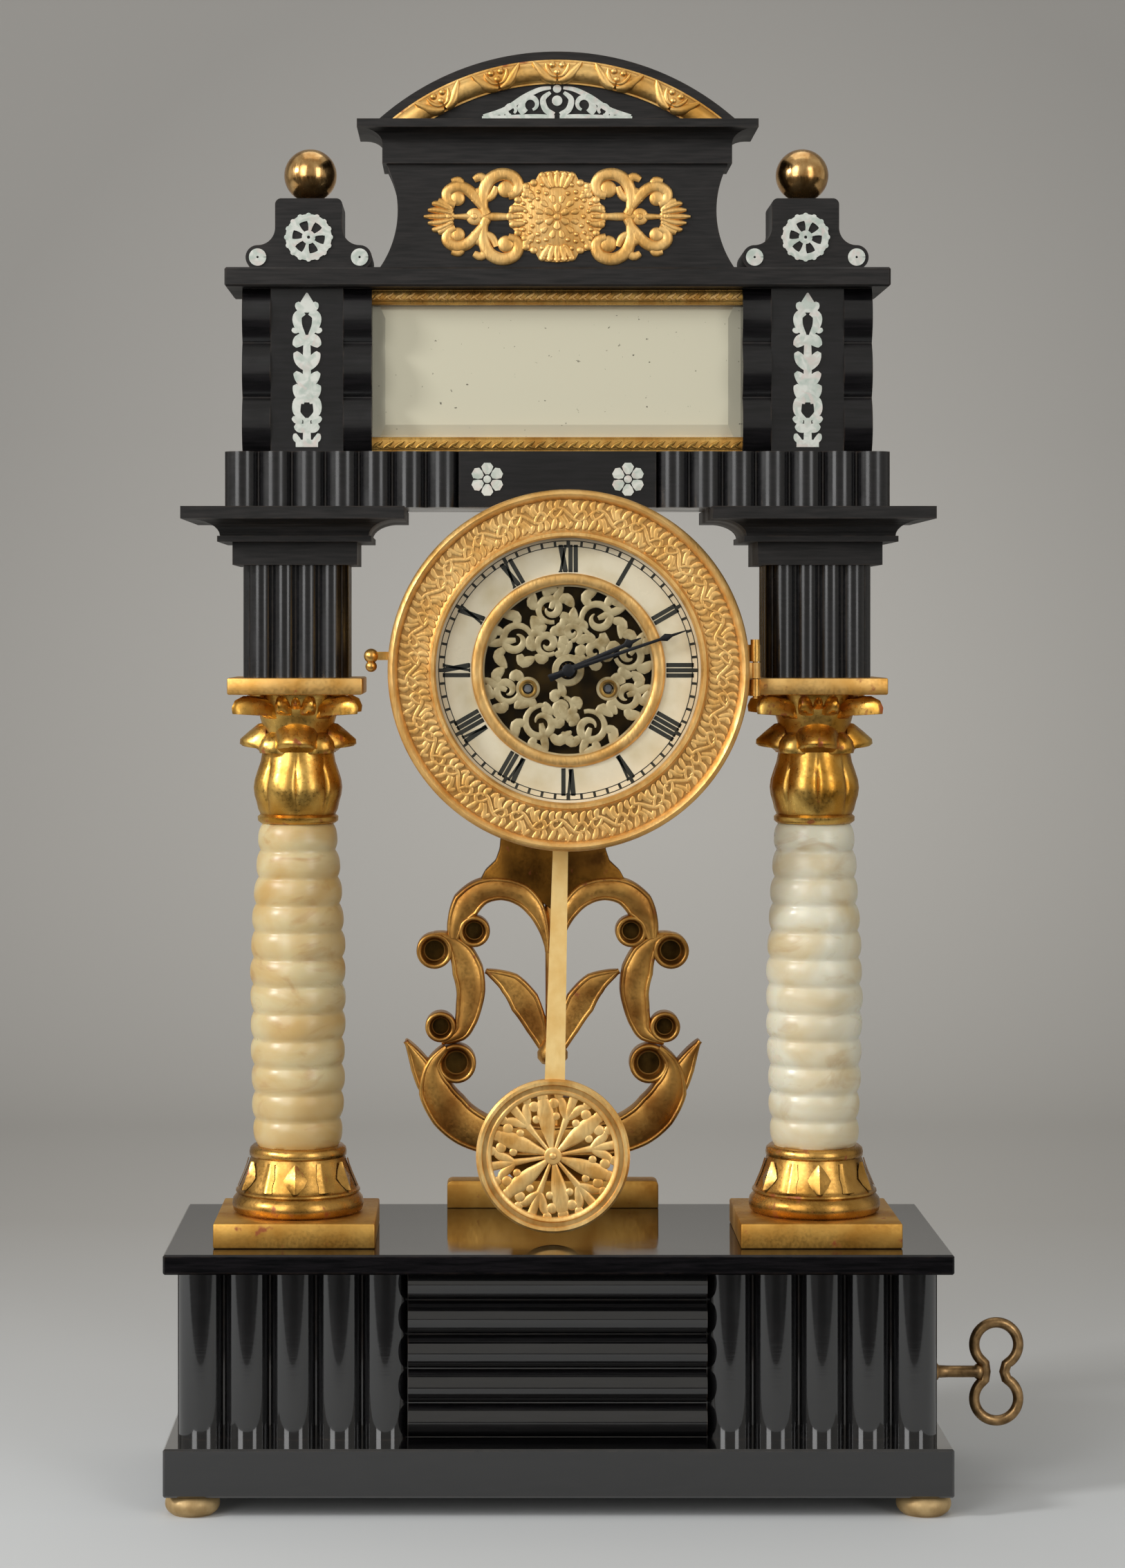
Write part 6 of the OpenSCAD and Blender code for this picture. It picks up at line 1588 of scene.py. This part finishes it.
    def dial(self) -> None:
        """Enamel ring with a railway minute track and Roman numerals, and the gilt rim inside it."""
        low, high = ends_of("dial_ring")
        front, back = low.y, high.y
        flat = [(self.rim_out, back), (self.rim_out, front), (self.dial_out, front), (self.dial_out, back)]
        ring = Carving().lathe(flat, self.centre, Axis.FACING, 96, True)
        ring.fix("dial_enamel", Look.ENAMEL, CASE, "enamel", "dial_ring")
        half, foot = (self.rim_out - self.rim_in) / 2, front - 0.3
        crown = ends_of("dial_rim")[0].y - foot
        turns = [math.pi * k / 10 for k in range(1, 10)]
        roll = [(self.rim_in + half - math.cos(turn) * half, foot + crown * math.sin(turn)) for turn in turns]
        profile = [(self.rim_in, back), (self.rim_in, foot), *roll, (self.rim_out, foot),
                   (self.rim_out, back)]
        rim = Carving().lathe(profile, self.centre, Axis.FACING, 96, True)
        rim.fix("dial_gilt_rim", Look.STAMPED, CASE, "gilt_brass", "dial_rim", smooth=50.0)
        ink = Carving()
        for inset in (1.1, 3.2):
            line = arc_path(self.centre.x, self.centre.z, self.sight_r - inset, count=120)
            ink.ribbon(line, 0.17, front, self.print_t, 0.0, 2)
        for hour, marks in enumerate(self.numerals, 1):
            self.numeral(ink, marks, math.radians(30 * hour), front)
        ink.fix("dial_numerals", Look.INK, CASE, "enamel", smooth=20.0)
        place = Matrix.Translation((self.centre.x, front, self.centre.z))
        for name, count, tall, half, thick in (("dial_minute_track", 60, 1.0, 0.5, self.print_t),
                                               ("dial_five_minute_marks", 12, 1.4, 0.7, 0.07)):
            mark = Carving().ribbon([(0.0, -tall), (0.0, tall)], half, 0.0, thick, 0.0, 2)
            RING.make(name, mark, Look.INK, CASE, "enamel", place, count, 360 / count,
                      radius=self.sight_r - 2.3)

    def numeral(self, ink: Carving, marks: str, angle: float, front: float) -> None:
        """Draw one Roman numeral with its foot towards the middle."""
        foot, head = self.rim_out + 0.6, self.sight_r - 2.9
        advance = {"I": 2.0, "V": 3.7, "X": 3.7}
        across = -sum(advance[m] for m in marks) / 2
        for m in marks:
            mid = across + advance[m] / 2
            across += advance[m]
            left, right = mid - advance[m] / 2 + 0.9, mid + advance[m] / 2 - 0.9
            serif = 0.75
            if m == "I":
                lines = [(mid, foot, mid, head, 0.82)]
                ends = [(mid, foot), (mid, head)]
                serif = 0.8
            elif m == "V":
                lines = [(left, head, mid, foot, 0.95), (mid, foot, right, head, 0.5)]
                ends = [(left, head), (right, head)]
            else:
                lines = [(left, head, right, foot, 0.95), (left, foot, right, head, 0.5)]
                ends = [(left, head), (right, head), (left, foot), (right, foot)]
            lines += [(x - serif, z, x + serif, z, 0.26) for x, z in ends]
            for x0, z0, x1, z1, half in lines:
                path = [self.turned(x0, z0, angle), self.turned(x1, z1, angle)]
                ink.ribbon(path, half, front, self.print_t, 0.0, 2)

    def turned(self, x: float, z: float, angle: float) -> Point2:
        """Turn a point clockwise about the dial's middle."""
        return (self.centre.x + x * math.cos(angle) + z * math.sin(angle),
                self.centre.z - x * math.sin(angle) + z * math.cos(angle))

    def plate(self) -> None:
        """Pierced plate: leafy scrolls that grow from the rim over the dark movement."""
        low, high = ends_of("skeleton_plate")
        front, back = low.y, high.y
        inner, side, drop = self.rim_in - 0.7, self.winder_x, -self.winder_drop
        flat = [(inner, back), (inner, front), (self.dial_out, front), (self.dial_out, back)]
        plate = Carving().lathe(flat, self.centre, Axis.FACING, 96, True)
        for stroke, width in self.foliage():
            points = [(self.centre.x + x, self.centre.z + z) for x, z in stroke]
            widths = taper(len(points), width * 0.6, width * 1.14, width * 0.2, 0.6)
            plate.ribbon(points, widths, back, 0.8, 0.35)
        for x, z, radius, bore in ((0.0, 0.0, 6.2, 3.6), (side, drop, 4.6, 2.0), (-side, drop, 4.6, 2.0)):
            eye = [(bore, back), (bore, front), (radius - 0.4, front), (radius, front + 0.4), (radius, back)]
            plate.lathe(eye, self.centre + Vector((x, 0, z)), Axis.FACING, 36, True)
        plate.fix("pierced_plate", Look.SCROLL, CASE, "cream_metal", "skeleton_plate")
        collar = [(2.1, front + 0.2), (2.1, front - 0.3), (2.6, front - 0.6), (3.3, front - 0.5),
                  (3.6, front + 0.2)]
        collars = Carving()
        for x in (side, -side):
            collars.lathe(collar, self.centre + Vector((x, 0, drop)), Axis.FACING, 32, True)
        collars.fix("winding_collars", Look.OLD_BRASS, CASE, "cream_metal")

    def foliage(self) -> list[tuple[list[Point2], float]]:
        """Scrolls and leaves of the pierced plate, about the dial's middle, with their half widths."""
        reach = self.rim_in
        strokes: list[tuple[list[Point2], float]] = []
        seats = [(14, 24.4, 5.6, 1), (60, 23.0, 7.0, -1), (106, 24.6, 5.4, -1), (150, 23.2, 6.8, 1),
                 (198, 24.8, 5.2, -1), (243, 22.8, 7.2, 1), (291, 23.6, 6.6, -1), (337, 24.6, 5.6, 1),
                 (36, 12.4, 4.0, 1), (128, 13.0, 4.6, -1), (84, 14.8, 3.4, 1), (262, 14.8, 4.4, -1)]
        for bearing, distance, size, hand in seats:
            angle = math.radians(bearing)
            x, z = around(0.0, 0.0, distance, angle)
            start = bearing + 180
            strokes.append((arc_path(x, z, size, start, start + hand * 470, 30, size * 0.3), 1.35))
            for k in range(5):
                at = math.radians(start + hand * (50 + 66 * k))
                root = around(x, z, size * 0.84, at)
                bend = around(x, z, size * 1.34, at + hand * 0.08)
                tip = around(x, z, size * (1.66 if k % 2 else 1.46), at + hand * 0.6)
                if 5.0 < math.hypot(*tip) < reach + 2.0:
                    strokes.append((curve_path([root, bend, tip], 4), 1.85))
            if distance > 20.0:
                stalk = [(x, z), around(0.0, 0.0, reach, angle + hand * 0.22)]
            else:
                stalk = [around(0.0, 0.0, 5.4, angle + hand * 0.5), around(x, z, size, math.radians(start))]
            strokes.append((curve_path(stalk, 6), 1.4))
        return strokes


@dataclass
class Pendulum:
    """Pendulum: flat gilt rod and an openwork bob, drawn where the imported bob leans."""

    bob_r: float = 30.0
    rim_share: float = 0.2
    leaves: int = 6
    lean: float = 40.0

    def __post_init__(self) -> None:
        """Find the bob's middle and the plane of its leaves."""
        self.mid = middle("pendulum_bob")
        self.plane = self.mid.y + 0.5

    def build(self) -> None:
        """Dress the rod and make the openwork bob: a double rim round a flat wheel of leaves and bars."""
        dress(Look.ROD, "pendulum_rod")
        low, high = ends_of("pendulum_bob")
        front, back = low.y, high.y
        outer = self.bob_r
        inner = outer * (1 - self.rim_share)
        profile = [(inner, back), (inner, front + 1.0), (inner + 0.5, front + 0.5),
                   (inner + 1.5, front + 0.4), (inner + 2.0, front + 0.9), (outer - 2.5, front + 0.8),
                   (outer - 2.1, front + 0.1),
                   (outer - 0.9, front), (outer, front + 0.9), (outer, back - 0.4), (outer - 0.4, back)]
        wheel = Carving().lathe(profile, Vector((self.mid.x, 0.0, self.mid.z)), Axis.FACING, 96, True)
        for k in range(self.leaves):
            angle = 360 * k / self.leaves + self.lean
            self.petal(wheel, angle)
            self.bar(wheel, angle + 180 / self.leaves)
        wheel.button(self.mid.x, self.mid.z, 3.4, self.plane - 0.5, 0.7, 0.3, 28)
        wheel.button(self.mid.x, self.mid.z, 1.4, self.plane - 1.0, 0.5, 0.5, 20)
        wheel.fix("bob_openwork", Look.BOB, "pendulum", "gilt_brass", "pendulum_bob")

    def out(self, angle: float, reach: float, side: float = 0.0) -> Point2:
        """Point of the wheel at a share of the radius along a bearing, moved sideways by another share."""
        turn = math.radians(angle)
        along, across = reach * self.bob_r, side * self.bob_r
        return (self.mid.x + along * math.cos(turn) - across * math.sin(turn),
                self.mid.z + along * math.sin(turn) + across * math.cos(turn))

    def petal(self, wheel: Carving, angle: float) -> None:
        """Broad leaf from the middle with round lobes on its end, one of them touching the rim."""
        spine = [self.out(angle, reach) for reach in (0.06, 0.2, 0.36, 0.52, 0.66, 0.74)]
        wheel.ribbon(spine, [0.6, 1.6, 2.7, 3.3, 3.0, 2.0], self.plane, 0.6, 0.45)
        for reach, side, radius in ((0.77, 0.0, 2.2), (0.67, 0.13, 2.1), (0.67, -0.13, 2.1), (0.5, 0.13, 1.6),
                                    (0.5, -0.13, 1.6)):
            wheel.button(*self.out(angle, reach, side), radius, self.plane, 0.6, 0.4, 16)

    def bar(self, wheel: Carving, angle: float) -> None:
        """Slim bar from the middle to the rim with a curl and a lobe on each side of its end."""
        behind = self.plane + 0.1
        spine = [self.out(angle, reach) for reach in (0.08, 0.3, 0.5, 0.7, 0.86)]
        wheel.ribbon(spine, [0.6, 0.9, 1.4, 1.6, 1.9], behind, 0.5, 0.4)
        for side in SIDES:
            ends = ((0.5, 0.0), (0.58, side * 0.06), (0.68, side * 0.12), (0.74, side * 0.19))
            curl = curve_path([self.out(angle, *end) for end in ends], 4)
            wheel.ribbon(curl, taper(len(curl), 0.8, 1.7, 1.0, 0.6), behind, 0.5, 0.4)
            wheel.button(*self.out(angle, 0.77, side * 0.2), 1.8, self.plane, 0.6, 0.3, 14)


@dataclass
class MusicWork:
    """Music movement in the base and its winding key."""

    loop_r: float = 8.7
    wire: float = 2.1
    wire_sides: int = 12
    left_end: float = 237.0
    right_end: float = -62.0

    def build(self) -> None:
        """Dress the movement and bend the key's bow."""
        dress(Look.OLD_BRASS, "music_bedplate", "music_barrel", "music_cylinder", "music_fly")
        dress(Look.STEEL, "music_arbor", "music_comb")
        self.key()

    def key(self) -> None:
        """Bow of round wire in two loops that run into each other, on a turned shaft."""
        low, high = ends_of("winding_key")
        axis_z, axis_y = (low.z + high.z) / 2, (low.y + high.y) / 2
        bow_x = high.x - self.wire - self.loop_r
        rise = high.z - axis_z - self.wire - self.loop_r
        upper = arc_path(bow_x, axis_z + rise, self.loop_r, self.right_end, self.left_end, 44)
        lower = [(x, 2 * axis_z - z) for x, z in reversed(upper)]
        foot, waist_left, waist_right = low.x, upper[-1][0], upper[0][0]
        wirework = Carving()
        self.bend(wirework, [*upper, (waist_left + 0.5, axis_z), *lower, (waist_right - 0.9, axis_z)], axis_y)
        profile = [(0.0, foot), (2.5, foot), (2.5, foot + 1.4), (3.4, foot + 1.5), (3.4, foot + 5.6),
                   (2.5, foot + 6.2), (2.3, foot + 10.0), (2.3, waist_left - 4.0), (3.0, waist_left - 3.2),
                   (3.0, waist_left - 1.6), (2.2, waist_left - 0.6), (0.0, waist_left + 0.2)]
        shaft = Carving().lathe(profile, Vector((0, 0, 0)), Axis.UPRIGHT, 28)
        turn = Matrix.Translation((0, axis_y, axis_z)) @ Matrix.Rotation(math.pi / 2, 4, "Y")
        bmesh.ops.transform(shaft.bm, matrix=turn, verts=shaft.bm.verts[:])
        wirework.take(shaft.bm)
        wirework.fix("winding_key_bow", Look.KEY_BRONZE, "key", "gilt_brass", "winding_key", smooth=60.0)

    def bend(self, wirework: Carving, path: Path, y: float) -> None:
        """Run round wire along a closed path seen from the front."""
        rings = []
        for i, (x, z) in enumerate(path):
            before, after = path[i - 1], path[(i + 1) % len(path)]
            along = Vector((after[0] - before[0], 0.0, after[1] - before[1])).normalized()
            side = Vector((-along.z, 0.0, along.x))
            ring = []
            for k in range(self.wire_sides):
                angle = 2 * math.pi * k / self.wire_sides
                away = math.cos(angle) * side + math.sin(angle) * Vector((0, 1, 0))
                ring.append(Vector((x, y, z)) + self.wire * away)
            rings.append(ring)
        wirework.skin(rings, True, False)


def main() -> None:
    """Build the studio and every sub-assembly."""
    logging.basicConfig(level=logging.INFO, format="%(name)s: %(message)s")
    Studio(Vector((MIDDLE_X + EYE[0], EYE[1], EYE[2]))).build()
    for assembly in (Casework(), Columns(), Crest(), Lyre(), ClockHead(), Pendulum(), MusicWork()):
        assembly.build()
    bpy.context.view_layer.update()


if __name__ == "__main__":
    main()
